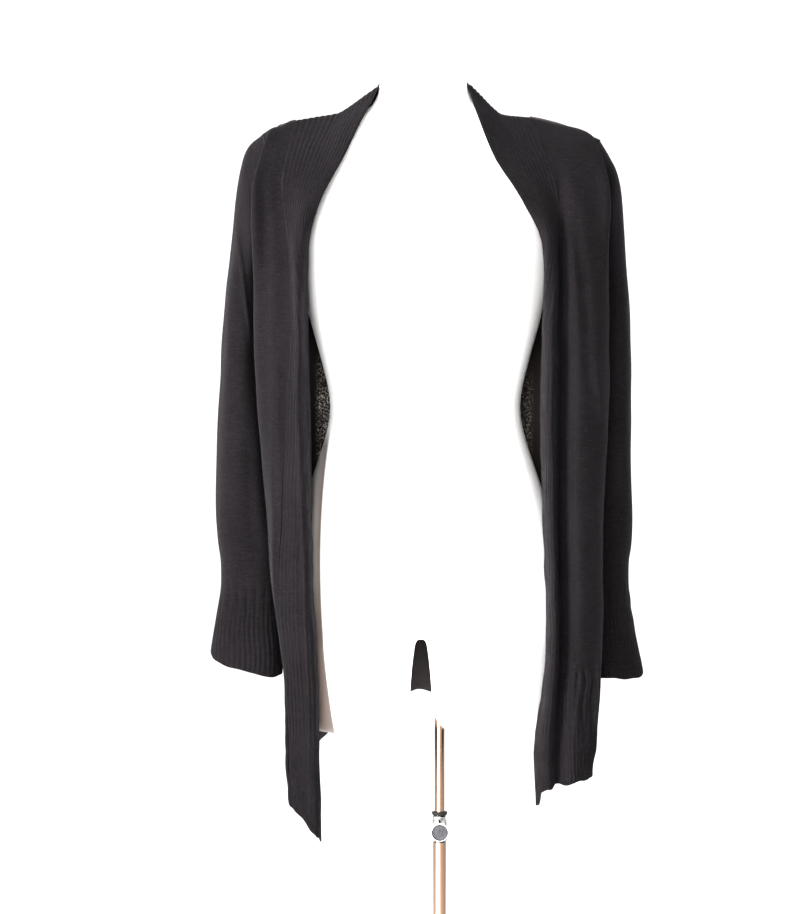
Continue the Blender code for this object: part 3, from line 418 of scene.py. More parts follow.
# The garment's body is knitted as a back and two fronts, each with a ribbed hem, and two rib bands,
# and is linked at its seams. It hangs from the form's shoulders. Each row of the tables has, for
# one height, how far out from the middle and how far behind (+) the mid-plane each column lies.
WALL = 0.0020
RIB_RISE = 0.0012
RIB_PITCH = 0.0086
RIB_POINTS = 12
BAND_RIBS = 15
BAND_POINTS = 10
ROLL_HALF = 0.0050
SEAM_HALF = 0.00015
SEAM_DEEP = 0.0004
EDGE_ROUND = 0.0007
FRONT_HALF = 0.02
FRONT_FADE = 0.03
CALM_TOP = 1.375
CALM_HEIGHT = 0.06
WAVE_SCALE = 8.0
WAVE_DEPTH = 0.0032
RIPPLE_SCALE = 24.0
RIPPLE_DEPTH = 0.0009
HEM_WAVY = 0.80
HEM_WAVY_HEIGHT = 0.12
HEM_SCALE = 60.0
HEM_DEPTH = 0.0055
WAVER = 0.30
WAVER_SCALE = 26.0
UNEVEN_SCALE = 55.0
RIB_SHAPE = 0.7
RIB_FADE = 0.05
BAND_RISE = 0.0007
HEM_RISE = 0.0020
CUFF_RISE = 0.0012
# The height at which the ribs part in two
BAND_TURN = 0.69
HEM_TURN = 0.70
BACK_TURN = 0.75
# The left band ends in a tongue below its hem
BAND_POINT_STEP = 0.00048
TONGUE_WIDE = 0.021
TONGUE_DROP = {"right": 0.0, "left": 0.0115}
TONGUE_FROM = 0.68
TONGUE_SOFT = 0.05
HEM = 0.62
RIB_TOP = 0.75
UNDERARM = 1.20
CHEST = 1.22
SHOULDER = 1.395
HEM_ROWS = 24
SIDE_ROWS = 72
ARMHOLE_ROWS = 32
NECK_ROWS = 16
# Columns:    height  edge            crest           seam            fold            corner
RIGHT_FRONT = (
    (0.620, (0.1177, -0.058), (0.1235, -0.088), (0.1510, -0.090), (0.1525, -0.075), (0.1533, -0.040)),
    (0.750, (0.1215, -0.066), (0.1265, -0.100), (0.1580, -0.093), (0.1605, -0.083), (0.1610, -0.055)),
    (0.880, (0.1250, -0.069), (0.1310, -0.106), (0.1627, -0.097), (0.1710, -0.093), (0.1760, -0.070)),
    (1.050, (0.1295, -0.060), (0.1380, -0.108), (0.1555, -0.098), (0.1730, -0.094), (0.1890, -0.070)),
    (1.150, (0.1315, -0.060), (0.1395, -0.108), (0.1504, -0.098), (0.1720, -0.092), (0.1945, -0.068)),
    (1.240, (0.1315, -0.085), (0.1405, -0.110), (0.1535, -0.088), (0.1740, -0.084), (0.1958, -0.064)),
    (1.275, (0.1180, -0.102), (0.1370, -0.100), (0.1580, -0.080), (0.1755, -0.078), (0.1962, -0.062)),
    (1.310, (0.0935, -0.088), (0.1280, -0.085), (0.1610, -0.071), (0.1770, -0.068), (0.1940, -0.055)),
    (1.365, (0.0610, -0.030), (0.1050, -0.028), (0.1515, -0.020), (0.1670, -0.023), (0.1815, -0.026)),
    (1.395, (0.0545, -0.010), (0.0980, -0.008), (0.1480, -0.005), (0.1620, -0.005), (0.1760, -0.005)),
)
LEFT_FRONT = (
    (0.620, (0.1265, -0.060), (0.1360, -0.086), (0.1490, -0.075), (0.1660, -0.088), (0.1880, -0.060)),
    (0.675, (0.1245, -0.059), (0.1355, -0.089), (0.1495, -0.073), (0.1670, -0.092), (0.1935, -0.063)),
    (0.750, (0.1335, -0.055), (0.1395, -0.094), (0.1500, -0.071), (0.1690, -0.096), (0.2000, -0.066)),
    (0.880, (0.1365, -0.050), (0.1410, -0.098), (0.1520, -0.069), (0.1705, -0.100), (0.2035, -0.070)),
    (1.050, (0.1300, -0.048), (0.1370, -0.099), (0.1515, -0.069), (0.1690, -0.100), (0.2095, -0.066)),
    (1.150, (0.1305, -0.052), (0.1370, -0.100), (0.1510, -0.069), (0.1680, -0.100), (0.2100, -0.065)),
    (1.240, (0.1300, -0.092), (0.1395, -0.106), (0.1510, -0.076), (0.1670, -0.098), (0.2083, -0.064)),
    (1.275, (0.1070, -0.103), (0.1320, -0.102), (0.1500, -0.084), (0.1660, -0.093), (0.2080, -0.062)),
    (1.310, (0.0770, -0.088), (0.1120, -0.090), (0.1435, -0.080), (0.1640, -0.080), (0.2060, -0.055)),
    (1.365, (0.0530, -0.028), (0.0905, -0.030), (0.1255, -0.024), (0.1510, -0.026), (0.1925, -0.028)),
    (1.395, (0.0515, -0.010), (0.0850, -0.008), (0.1185, -0.005), (0.1450, -0.005), (0.1760, -0.005)),
)
# Columns:   height  side, below the underarm
RIGHT_SIDE = (
    (0.620, (0.1520, 0.005)),
    (0.750, (0.1600, 0.005)),
    (0.880, (0.1720, 0.003)),
    (1.050, (0.1790, 0.005)),
    (1.150, (0.1810, 0.008)),
    (1.200, (0.1820, 0.010)),
)
LEFT_SIDE = (
    (0.620, (0.1680, 0.000)),
    (0.750, (0.1740, 0.000)),
    (0.880, (0.1780, 0.002)),
    (1.050, (0.1830, 0.005)),
    (1.150, (0.1840, 0.008)),
    (1.200, (0.1850, 0.010)),
)
# Columns:  height  blade, towards the side      spine, beside the middle   centre back
RIGHT_BACK = (
    (0.620, (0.1400, 0.075), (0.0800, 0.108), (0.0, 0.120)),
    (0.750, (0.1460, 0.080), (0.0820, 0.114), (0.0, 0.126)),
    (0.880, (0.1520, 0.085), (0.0850, 0.116), (0.0, 0.126)),
    (1.050, (0.1500, 0.075), (0.0800, 0.098), (0.0, 0.104)),
    (1.150, (0.1500, 0.075), (0.0800, 0.096), (0.0, 0.102)),
    (1.240, (0.1530, 0.080), (0.0800, 0.104), (0.0, 0.108)),
    (1.310, (0.1525, 0.074), (0.0800, 0.101), (0.0, 0.103)),
    (1.365, (0.1500, 0.022), (0.0780, 0.080), (0.0, 0.087)),
    (1.395, (0.1480, -0.005), (0.0750, 0.066), (0.0, 0.078)),
)
LEFT_BACK = (
    (0.620, (0.1460, 0.072), (0.0800, 0.108), (0.0, 0.120)),
    (0.750, (0.1500, 0.080), (0.0820, 0.114), (0.0, 0.126)),
    (0.880, (0.1540, 0.085), (0.0850, 0.116), (0.0, 0.126)),
    (1.050, (0.1500, 0.075), (0.0800, 0.098), (0.0, 0.104)),
    (1.150, (0.1500, 0.075), (0.0800, 0.096), (0.0, 0.102)),
    (1.240, (0.1520, 0.080), (0.0800, 0.104), (0.0, 0.108)),
    (1.310, (0.1480, 0.074), (0.0790, 0.101), (0.0, 0.103)),
    (1.365, (0.1320, 0.024), (0.0700, 0.080), (0.0, 0.087)),
    (1.395, (0.1185, -0.005), (0.0660, 0.066), (0.0, 0.078)),
)
FRONT_COLUMNS = ("edge", "crest", "seam", "fold", "corner")
BACK_COLUMNS = ("blade", "spine", "centre")
# Where each column's line begins and ends: (height at the hem, height at the shoulder)
RIGHT_ENDS = {
    "edge": (0.573, 1.431), "crest": (0.588, 1.402), "seam": (0.619, 1.393), "fold": (0.627, 1.388),
    "corner": (0.633, 1.384), "side": (0.640, 1.377), "blade": (0.652, 1.393), "spine": (0.710, 1.392),
    "centre": (0.729, 1.385),
}
LEFT_ENDS = {
    "edge": (0.625, 1.433), "crest": (0.634, 1.4015), "seam": (0.637, 1.3965), "fold": (0.641, 1.391),
    "corner": (0.648, 1.382), "side": (0.660, 1.371), "blade": (0.692, 1.3965), "spine": (0.714, 1.393),
    "centre": (0.729, 1.385),
}
ARMHOLE_FRONT = Vector((-0.005, -0.036, 0.0))
ARMHOLE_BACK = Vector((-0.014, 0.060, 0.0))
RIGHT_TIP = (0.187, -0.005)
LEFT_TIP = (0.200, -0.005)
# Columns:    share  edge: out, back, height      middle: out, back, height
RIGHT_NECK = (
    (0.0, (0.0545, -0.010, 1.4310), (0.0980, -0.008, 1.4020)),
    (0.5, (0.0450, 0.042, 1.4450), (0.0620, 0.052, 1.4120)),
    (1.0, (0.0, 0.062, 1.4520), (0.0, 0.0720, 1.4190)),
)
LEFT_NECK = (
    (0.0, (0.0515, -0.010, 1.4330), (0.0850, -0.008, 1.4015)),
    (0.5, (0.0430, 0.042, 1.4450), (0.0580, 0.052, 1.4120)),
    (1.0, (0.0, 0.062, 1.4520), (0.0, 0.0720, 1.4190)),
)
FRONT_SPLIT = (9, 12, 18)
BACK_SPLIT = (48, NECK_ROWS // 2, NECK_ROWS // 2)
# Soft folds pressed into the fronts
# Columns:     place across  from   to     width  depth
RIGHT_FOLDS = (
    (0.42, 0.70, 1.10, 0.16, -0.0035),
    (0.70, 0.78, 1.30, 0.14, -0.0030),
)
LEFT_FOLDS = (
    (0.52, 0.66, 1.28, 0.13, -0.0050),
    (0.76, 0.95, 1.32, 0.12, -0.0030),
)


def between(rows, height):
    """A smooth curve through rows of (height, value, ...), read at a height, as a list of values."""
    last = len(rows) - 1
    height = min(max(height, rows[0][0]), rows[last][0])
    low = max(i for i in range(last) if rows[i][0] <= height)

    def slope(i, k):
        before = rows[max(i - 1, 0)]
        after = rows[min(i + 1, last)]
        return (after[k] - before[k]) / (after[0] - before[0])

    step = rows[low + 1][0] - rows[low][0]
    t = (height - rows[low][0]) / step
    values = []
    for k in range(1, len(rows[0])):
        start, end = rows[low][k], rows[low + 1][k]
        rise = step * (t - 2 * t * t + t ** 3) * slope(low, k)
        fall = step * (t ** 3 - t * t) * slope(low + 1, k)
        ease = 3 * t * t - 2 * t ** 3
        values.append(start + (end - start) * ease + rise + fall)
    return values


def curve_through(controls):
    """A smooth curve through points: a function of the stretch's number and a share of its length."""
    along = [0.0]
    for first, second in zip(controls, controls[1:]):
        along.append(along[-1] + max((second - first).length, 1e-6) ** 0.7)
    rows = [(u, *point) for u, point in zip(along, controls)]

    def at(stretch, share):
        u = along[stretch] + (along[stretch + 1] - along[stretch]) * share
        return Vector(between(rows, u))

    return at


def even_points(points, count):
    """The same line divided into count equal lengths."""
    lengths = [0.0]
    for first, second in zip(points, points[1:]):
        lengths.append(lengths[-1] + (second - first).length)
    line = []
    i = 0
    for k in range(count + 1):
        want = lengths[-1] * k / count
        while i < len(points) - 2 and lengths[i + 1] < want:
            i += 1
        share = (want - lengths[i]) / (lengths[i + 1] - lengths[i])
        line.append(points[i].lerp(points[i + 1], min(share, 1.0)))
    return line


def column_height(ends, height):
    """A row's height on one column: its hem and shoulder are lower or higher than the row's."""
    hem, top = ends
    if height <= CHEST:
        return hem + (height - HEM) / (CHEST - HEM) * (CHEST - hem)
    t = (height - CHEST) / (SHOULDER - CHEST)
    return CHEST + (top - CHEST) * (t + t ** 3 * (1 - t))


class Side:
    """One side of the garment's body, with its columns read at any height."""

    def __init__(self, sign, *tables):
        self.sign = sign
        self.front, self.side, self.back, self.ends, self.tip, self.neck, self.folds = tables

    def place(self, out, depth, height):
        return Vector((self.sign * out, depth, height))

    def column(self, table, number, name, height):
        rows = [(row[0], *row[1 + number]) for row in table]
        out, depth = between(rows, height)
        return self.place(out, depth, column_height(self.ends[name], height))

    def side_point(self, height, bow):
        """The side seam, or above the underarm one edge of the armhole."""
        if height <= UNDERARM:
            return self.column(self.side, 0, "side", height)
        low = self.column(self.side, 0, "side", UNDERARM)
        high = self.place(*self.tip, self.ends["side"][1])
        share = (height - UNDERARM) / (SHOULDER - UNDERARM)
        angle = math.acos(1 - 2 * min(max(share, 0.0), 1.0))
        shift = self.place(bow.x, bow.y, 0.0) * math.sin(angle)
        return low.lerp(high, (1 - math.cos(angle)) / 2) + shift

    def section(self, height):
        """The cloth's line at a height: the band, the front and the half of the back."""
        front = [self.column(self.front, i, name, height) for i, name in enumerate(FRONT_COLUMNS)]
        back = [self.column(self.back, i, name, height) for i, name in enumerate(BACK_COLUMNS)]
        front_side = self.side_point(height, ARMHOLE_FRONT)
        back_side = self.side_point(height, ARMHOLE_BACK)
        mirrored = Vector((-back[1].x, back[1].y, back[1].z))
        roll = (front[2] - front[0]).normalized() * ROLL_HALF
        front[1:2] = [front[1] - roll, front[1] + roll]
        joined = height <= UNDERARM
        front_line = front + [front_side] + ([back[0]] if joined else [])
        back_line = ([front[-1]] if joined else []) + [back_side] + back + [mirrored]
        ahead = curve_through(front_line)
        behind = curve_through(back_line)
        band = [ahead(i, k / 24) for i in range(3) for k in range(24)] + [front[3]]
        panel = [front[3]]
        for i, split in enumerate(FRONT_SPLIT):
            panel += [ahead(3 + i, (k + 1) / split) for k in range(split)]
        half_back = [back_side]
        first = 1 if joined else 0
        for i, split in enumerate(BACK_SPLIT):
            half_back += [behind(first + i, (k + 1) / split) for k in range(split)]
        return even_points(band, BAND_RIBS * BAND_POINTS), self.folded(panel, height), half_back

    def folded(self, panel, height):
        """The front's line with its soft folds pressed in."""
        last = len(panel) - 1
        moved = list(panel)
        for place, low, high, width, depth in self.folds:
            if not low < height < high:
                continue
            fade = math.sin(math.pi * (height - low) / (high - low))
            for i in range(1, last):
                across = (panel[i + 1] - panel[i - 1]).normalized()
                inward = Vector((across.y, -across.x, 0.0)) * self.sign
                share = math.exp(-(((i / last) - place) / width) ** 2)
                moved[i] = moved[i] + inward * (depth * fade * share)
        return moved

    def neck_row(self, share, seam, below):
        """The band's line behind the neck."""
        past = [(2 - at, (-edge[0], *edge[1:]), (-middle[0], *middle[1:]))
                for at, edge, middle in reversed(self.neck[:-1])]
        rows = list(self.neck) + past
        edge = Vector(between([(row[0], *row[1]) for row in rows], share))
        middle = Vector(between([(row[0], *row[2]) for row in rows], share))
        edge.x *= self.sign
        middle.x *= self.sign
        line = curve_through([edge, middle, seam, below])
        stretches = [line(i, k / 24) for i in range(2) for k in range(24)]
        return even_points(stretches + [seam], BAND_RIBS * BAND_POINTS)


RIGHT = Side(-1, RIGHT_FRONT, RIGHT_SIDE, RIGHT_BACK, RIGHT_ENDS, RIGHT_TIP, RIGHT_NECK, RIGHT_FOLDS)
LEFT = Side(1, LEFT_FRONT, LEFT_SIDE, LEFT_BACK, LEFT_ENDS, LEFT_TIP, LEFT_NECK, LEFT_FOLDS)

ROW_HEIGHTS = [HEM + (RIB_TOP - HEM) * i / HEM_ROWS for i in range(HEM_ROWS)]
ROW_HEIGHTS += [RIB_TOP + (UNDERARM - RIB_TOP) * i / SIDE_ROWS for i in range(SIDE_ROWS)]
for step in range(ARMHOLE_ROWS + 1):
    rise = (1 - math.cos(math.pi * step / ARMHOLE_ROWS)) / 2
    ROW_HEIGHTS.append(UNDERARM + (SHOULDER - UNDERARM) * rise)
UNDERARM_ROW = HEM_ROWS + SIDE_ROWS
TOP_ROW = UNDERARM_ROW + ARMHOLE_ROWS


def body_grids(side):
    """The band's, front's and half back's rows of points, sharing the points of their seams."""
    band, front, back = [], [], []
    for height in ROW_HEIGHTS:
        strip, panel, half = side.section(height)
        band.append(strip)
        front.append(panel)
        back.append(half)
    neck = len(back[0]) - 1 - NECK_ROWS
    back[TOP_ROW] = even_points(front[TOP_ROW][::-1], neck) + back[TOP_ROW][neck + 1:]
    for k in range(1, NECK_ROWS + 1):
        seam, below = back[TOP_ROW][neck + k], back[TOP_ROW - 1][neck + k]
        band.append(side.neck_row(k / NECK_ROWS, seam, below))
    return np.array(band), np.array(front), np.array(back)


def unit(vectors):
    return vectors / np.maximum(np.linalg.norm(vectors, axis=-1, keepdims=True), 1e-12)


def facing(grid, turn, wrap=False):
    """The outward direction at each point of a grid."""
    along = np.gradient(grid, axis=0)
    if wrap:
        across = (np.roll(grid, -1, axis=1) - np.roll(grid, 1, axis=1)) / 2
    else:
        across = np.gradient(grid, axis=1)
    return unit(np.cross(along, across) * turn)


# The offsets of the noise vectors are drawn from the clock unless they have a seed
CLOTH_SEED = 1
noise.seed_set(CLOTH_SEED)


def settled(grid):
    """Soft unevenness, the same on neighbouring pieces because it is read from each point's place."""
    moved = np.array(grid)
    for place in np.ndindex(grid.shape[:-1]):
        point = Vector(grid[place])
        calm = min(max((CALM_TOP - point.z) / CALM_HEIGHT, 0.0), 1.0)
        wave = noise.noise_vector(point * WAVE_SCALE) * WAVE_DEPTH
        wave += noise.noise_vector(point * RIPPLE_SCALE) * RIPPLE_DEPTH
        low = min(max((HEM_WAVY - point.z) / HEM_WAVY_HEIGHT, 0.0), 1.0)
        wave.z += noise.noise(point * HEM_SCALE) * HEM_DEPTH * low
        moved[place] += wave * calm
    return moved


def pressed(grid, creases):
    """A grid with creases pressed into the half that faces the front."""
    moved = np.array(grid)
    flat = grid[..., (0, 2)]
    for crease in creases:
        line, width, depth = np.array(crease[0]), crease[1], crease[2]
        arms = np.diff(line, axis=0)
        lengths = np.linalg.norm(arms, axis=1)
        nearest = np.full(flat.shape[:-1], 1.0)
        share = np.zeros(flat.shape[:-1])
        for i, arm in enumerate(arms):
            t = np.clip(((flat - line[i]) @ arm) / lengths[i] ** 2, 0.0, 1.0)
            away = np.linalg.norm(flat - line[i] - t[..., None] * arm, axis=-1)
            closer = away < nearest
            nearest = np.where(closer, away, nearest)
            share = np.where(closer, (lengths[:i].sum() + t * lengths[i]) / lengths.sum(), share)
        fade = np.sin(np.pi * np.clip(share * 0.96 + 0.02, 0.0, 1.0)) ** 0.5
        push = depth * fade * np.exp(-(nearest / width) ** 2)
        moved[..., 1] += push * np.clip((FRONT_HALF - grid[..., 1]) / FRONT_FADE, 0.0, 1.0)
    return moved


def cloth(name, grid, normals, raised, looks, wrap=False):
    """A closed wall of cloth behind a grid of outer points, with rounded edges and its own UV map."""
    if wrap:
        grid, normals, raised = (np.concatenate([a, a[:, :1]], axis=1) for a in (grid, normals, raised))
    rows, columns = grid.shape[:2]
    widths = np.linalg.norm(np.diff(grid, axis=1), axis=2).sum(axis=1)
    steps = np.linalg.norm(np.diff(grid, axis=0), axis=2).mean(axis=1)
    across = np.linspace(0.0, widths.mean(), columns)
    upward = np.concatenate([[0.0], np.cumsum(steps)])
    flat = np.stack(np.meshgrid(across, upward), axis=-1)
    ids = np.arange(rows * columns).reshape(rows, columns)
    if wrap:
        rims = [[(0, c) for c in range(columns)], [(rows - 1, c) for c in range(columns)]]
    else:
        rims = [[(0, c) for c in range(columns)] + [(r, columns - 1) for r in range(1, rows)]
                + [(rows - 1, c) for c in range(columns - 2, -1, -1)]
                + [(r, 0) for r in range(rows - 2, -1, -1)]]
    outer = grid + normals * raised[..., None]
    inner = grid - normals * WALL
    points = [outer.reshape(-1, 3), inner.reshape(-1, 3)]
    uvs = [flat.reshape(-1, 2), flat.reshape(-1, 2)]
    faces, slots = [], []
    for r in range(rows - 1):
        for c in range(columns - 1):
            quad = (ids[r, c], ids[r, c + 1], ids[r + 1, c + 1], ids[r + 1, c])
            faces.append(quad)
            faces.append(tuple(i + rows * columns for i in quad[::-1]))
            slots += [0, 1]
    total = 2 * rows * columns
    for rim in rims:
        r_ids = np.array([place[0] for place in rim])
        c_ids = np.array([place[1] for place in rim])
        within = grid[np.clip(r_ids, 1, rows - 2), c_ids if wrap else np.clip(c_ids, 1, columns - 2)]
        out = unit(grid[r_ids, c_ids] - within)
        first, last = outer[r_ids, c_ids], inner[r_ids, c_ids]
        loops = [ids[r_ids, c_ids]]
        for angle in (math.radians(45), math.radians(90), math.radians(135)):
            middle, arm = (first + last) / 2, (first - last) / 2
            points.append(middle + arm * math.cos(angle) + out * (EDGE_ROUND * math.sin(angle)))
            uvs.append(flat[r_ids, c_ids])
            loops.append(np.arange(total, total + len(rim)))
            total += len(rim)
        loops.append(ids[r_ids, c_ids] + rows * columns)
        for low, high in zip(loops, loops[1:]):
            for k in range(len(rim) if not wrap else len(rim) - 1):
                j = (k + 1) % len(rim)
                faces.append((low[k], low[j], high[j], high[k]))
                slots.append(0)
    points, uvs = np.concatenate(points), np.concatenate(uvs)
    mesh = bpy.data.meshes.new(name)
    mesh.from_pydata(points.tolist(), [], [tuple(int(i) for i in face) for face in faces])
    mesh.polygons.foreach_set("material_index", slots)
    corner = np.zeros(len(mesh.loops), np.int32)
    mesh.loops.foreach_get("vertex_index", corner)
    mesh.uv_layers.new(name="UVMap").data.foreach_set("uv", uvs[corner].astype(np.float32).ravel())
    made = link(name, mesh, looks, "form")
    area = float(np.linalg.norm(np.cross(grid[1:, :-1] - grid[:-1, :-1], grid[:-1, 1:] - grid[:-1, :-1]),
                                axis=2).sum())
    lengths = np.linalg.norm(np.diff(grid, axis=0), axis=2).sum(axis=0)
    made["cut"] = [float(widths.max()), float(lengths.max()), area]
    return made


ALL = slice(None)
# A grid's edges, each with the line of points inside it
EDGES = {"hem": ((0,), (1,)), "top": ((-1,), (-2,)), "start": ((ALL, 0), (ALL, 1)),
         "end": ((ALL, -1), (ALL, -2))}


def pulled_in(grid, *edges):
    """A grid whose named edges are moved in by half a seam's gap. Their rounding fills it."""
    moved = np.array(grid)
    for edge, inside in (EDGES[name] for name in edges):
        moved[edge] += unit(grid[inside] - grid[edge]) * SEAM_HALF
    return moved


def ribs_on(grid, count, rise, turn, fade_from, share):
    """The rise of ribs at each point. They part in two below one height and start under another."""
    height = grid[..., 2]
    waver, uneven = np.zeros(height.shape), np.zeros(height.shape)
    for place in np.ndindex(height.shape):
        point = Vector(grid[place])
        waver[place] = noise.noise(point * WAVER_SCALE)
        uneven[place] = noise.noise(point * UNEVEN_SCALE)
    phase = math.pi * (count * share + WAVER * waver)
    wide = np.abs(np.sin(phase)) ** RIB_SHAPE
    close = np.abs(np.sin(2 * phase)) ** RIB_SHAPE * 0.8
    ease = np.clip((height - turn) / 0.02 + 0.5, 0.0, 1.0)
    start = np.clip((fade_from - height) / RIB_FADE, 0.0, 1.0) ** 1.3
    return rise * (wide * ease + close * (1 - ease)) * start * (1 + 1.1 * uneven)


def eased(normals, column, shared, reach):
    """Turns the directions beside a seam towards the one that both its pieces share there."""
    for i in range(reach):
        weight = 1 - i / reach
        at = i if column == 0 else -1 - i
        normals[:, at] = unit(normals[:, at] * (1 - weight) + shared * weight)


def ribbed_panel(name, grid, turn, normals, start, end, rib_turn, creases=()):
    """A panel of plain knit with the ribbed hem below it, both eased to their neighbours' seams."""
    eased(normals[:len(start) - HEM_ROWS], 0, start[HEM_ROWS:], 2)
    eased(normals[:len(end) - HEM_ROWS], -1, end[HEM_ROWS:], 2)
    plain = pressed(settled(pulled_in(grid[HEM_ROWS:], "hem", "top", "start", "end")), creases)
    pieces[name] = cloth(name, plain, normals, np.zeros(plain.shape[:2]), [plain_face, reverse_face])
    width = np.linalg.norm(np.diff(grid[HEM_ROWS], axis=0), axis=1).sum()
    count = round(width / RIB_PITCH)
    hem = pulled_in(grid[:HEM_ROWS + 1], "top", "start", "end")
    hem = np.array([even_points([Vector(point) for point in row], count * RIB_POINTS) for row in hem])
    normals = facing(hem, turn)
    eased(normals, 0, start[:HEM_ROWS + 1], RIB_POINTS)
    eased(normals, -1, end[:HEM_ROWS + 1], RIB_POINTS)
    ribs = ribs_on(hem, count, HEM_RISE, rib_turn, hem[-1, :, 2], np.linspace(0.0, 1.0, hem.shape[1]))
    hem = pressed(settled(hem), creases)
    name = f"{name}_hem_rib"
    pieces[name] = cloth(name, hem, normals, ribs, [rib_face, reverse_face])
    rims.append(hem[0] - normals[0] * (WALL / 2))


# Creases in the fronts: points (out, height), width, depth, where a rise has a negative depth.
# The armhole seams lie nearly flush with the cloth on both sides.
ARMHOLE_RISES = {
    "right": ((((-0.1965, 1.350), (-0.1955, 1.290), (-0.1950, 1.215)), 0.0105, -0.0150),),
    "left": ((((0.2085, 1.345), (0.2080, 1.290), (0.2070, 1.215)), 0.0100, -0.0110),),
}
FRONT_CREASES = {
    "right": (
        *ARMHOLE_RISES["right"],
        (((-0.176, 1.300), (-0.181, 1.200), (-0.178, 1.080), (-0.170, 0.940)), 0.006, 0.0022),
        (((-0.166, 1.120), (-0.163, 0.980), (-0.160, 0.860)), 0.005, -0.0016),
        (((-0.168, 1.330), (-0.164, 1.250)), 0.008, 0.0020),
    ),
    "left": (
        *ARMHOLE_RISES["left"],
        (((0.149, 1.326), (0.161, 1.286), (0.1747, 1.212), (0.1792, 1.160), (0.1814, 1.100),
          (0.189, 1.064), (0.195, 1.015)), 0.0065, 0.0048),
        (((0.1925, 1.105), (0.1985, 1.050)), 0.0050, -0.0030),
        (((0.178, 1.075), (0.1815, 1.050), (0.183, 1.025)), 0.0035, 0.0022),
        (((0.184, 0.960), (0.188, 0.880), (0.186, 0.800)), 0.0070, 0.0026),
        (((0.168, 0.800), (0.1695, 0.765), (0.166, 0.725)), 0.0026, 0.0036),
        (((0.1735, 0.795), (0.1775, 0.758), (0.1735, 0.728), (0.176, 0.690)), 0.0024, 0.0044),
        (((0.1825, 0.788), (0.186, 0.760), (0.182, 0.730), (0.1835, 0.690)), 0.0026, 0.0046),
        (((0.1915, 0.792), (0.1945, 0.750), (0.1905, 0.708)), 0.0026, 0.0036),
    ),
}
# The rolled edge of each band keeps a sharper ridge
BAND_CREASES = {
    "right": (
        (((-0.1450, 1.240), (-0.1440, 1.150), (-0.1425, 1.050), (-0.1355, 0.880), (-0.1310, 0.750),
          (-0.1285, 0.600)), 0.0022, -0.0016),
        (((-0.1490, 1.150), (-0.1475, 1.050), (-0.1400, 0.880), (-0.1355, 0.750)), 0.0030, 0.0010),
    ),
    "left": (
        (((0.1440, 1.240), (0.1430, 1.100), (0.1440, 0.950), (0.1430, 0.760)), 0.0026, -0.0010),
    ),
}
grids = {"right": body_grids(RIGHT), "left": body_grids(LEFT)}
pieces, side_links = {}, {}
seams, rims = [], []
for name, turn in (("right", 1), ("left", -1)):
    band, front, back = grids[name]
    strip = pulled_in(band, "end", "top")
    normals = facing(band, turn)
    normals[-1, :, 0] = 0.0
    normals[-1] = unit(normals[-1])
    ahead, behind = facing(front, turn), facing(back, turn)
    linked = unit(normals[:TOP_ROW + 1, -1] + ahead[:, 0])
    sides = unit(ahead[:UNDERARM_ROW + 1, -1] + behind[:UNDERARM_ROW + 1, 0])
    side_links[name] = sides
    eased(normals[:TOP_ROW + 1], -1, linked, BAND_POINTS)
    even = np.linspace(0.0, 1.0, strip.shape[1])
    ribs = ribs_on(strip, BAND_RIBS, BAND_RISE, BAND_TURN, 2.0, even)
    strip = pressed(settled(strip), BAND_CREASES[name])
    out_of_edge = even * BAND_RIBS * BAND_POINTS * BAND_POINT_STEP
    tongue = TONGUE_DROP[name] * np.exp(-(out_of_edge / TONGUE_WIDE) ** 6)
    strip[..., 2] -= tongue * np.clip((TONGUE_FROM - strip[..., 2]) / TONGUE_SOFT, 0.0, 1.0)
    pieces[f"band_{name}"] = cloth(f"band_{name}", strip, normals, ribs, [rib_face, reverse_face])
    rims.append(strip[:, 0] - normals[:, 0] * (WALL / 2))
    rims.append(strip[0] - normals[0] * (WALL / 2))
    seams.append(settled(band[:, -1]) - normals[:, -1] * SEAM_DEEP)

    ribbed_panel(f"front_{name}", front, turn, ahead[HEM_ROWS:], linked, sides, HEM_TURN,
                 FRONT_CREASES[name])
    seams.append(settled(front[:UNDERARM_ROW, -1]) - sides[:UNDERARM_ROW] * SEAM_DEEP)
    seams.append(settled(front[-1]) - ahead[-1] * SEAM_DEEP)

back = np.concatenate([grids["right"][2], grids["left"][2][:, -2::-1]], axis=1)
ribbed_panel("back", back, 1, facing(back[HEM_ROWS:], 1), side_links["right"], side_links["left"],
             BACK_TURN)
seams.append(settled(back[-1]))

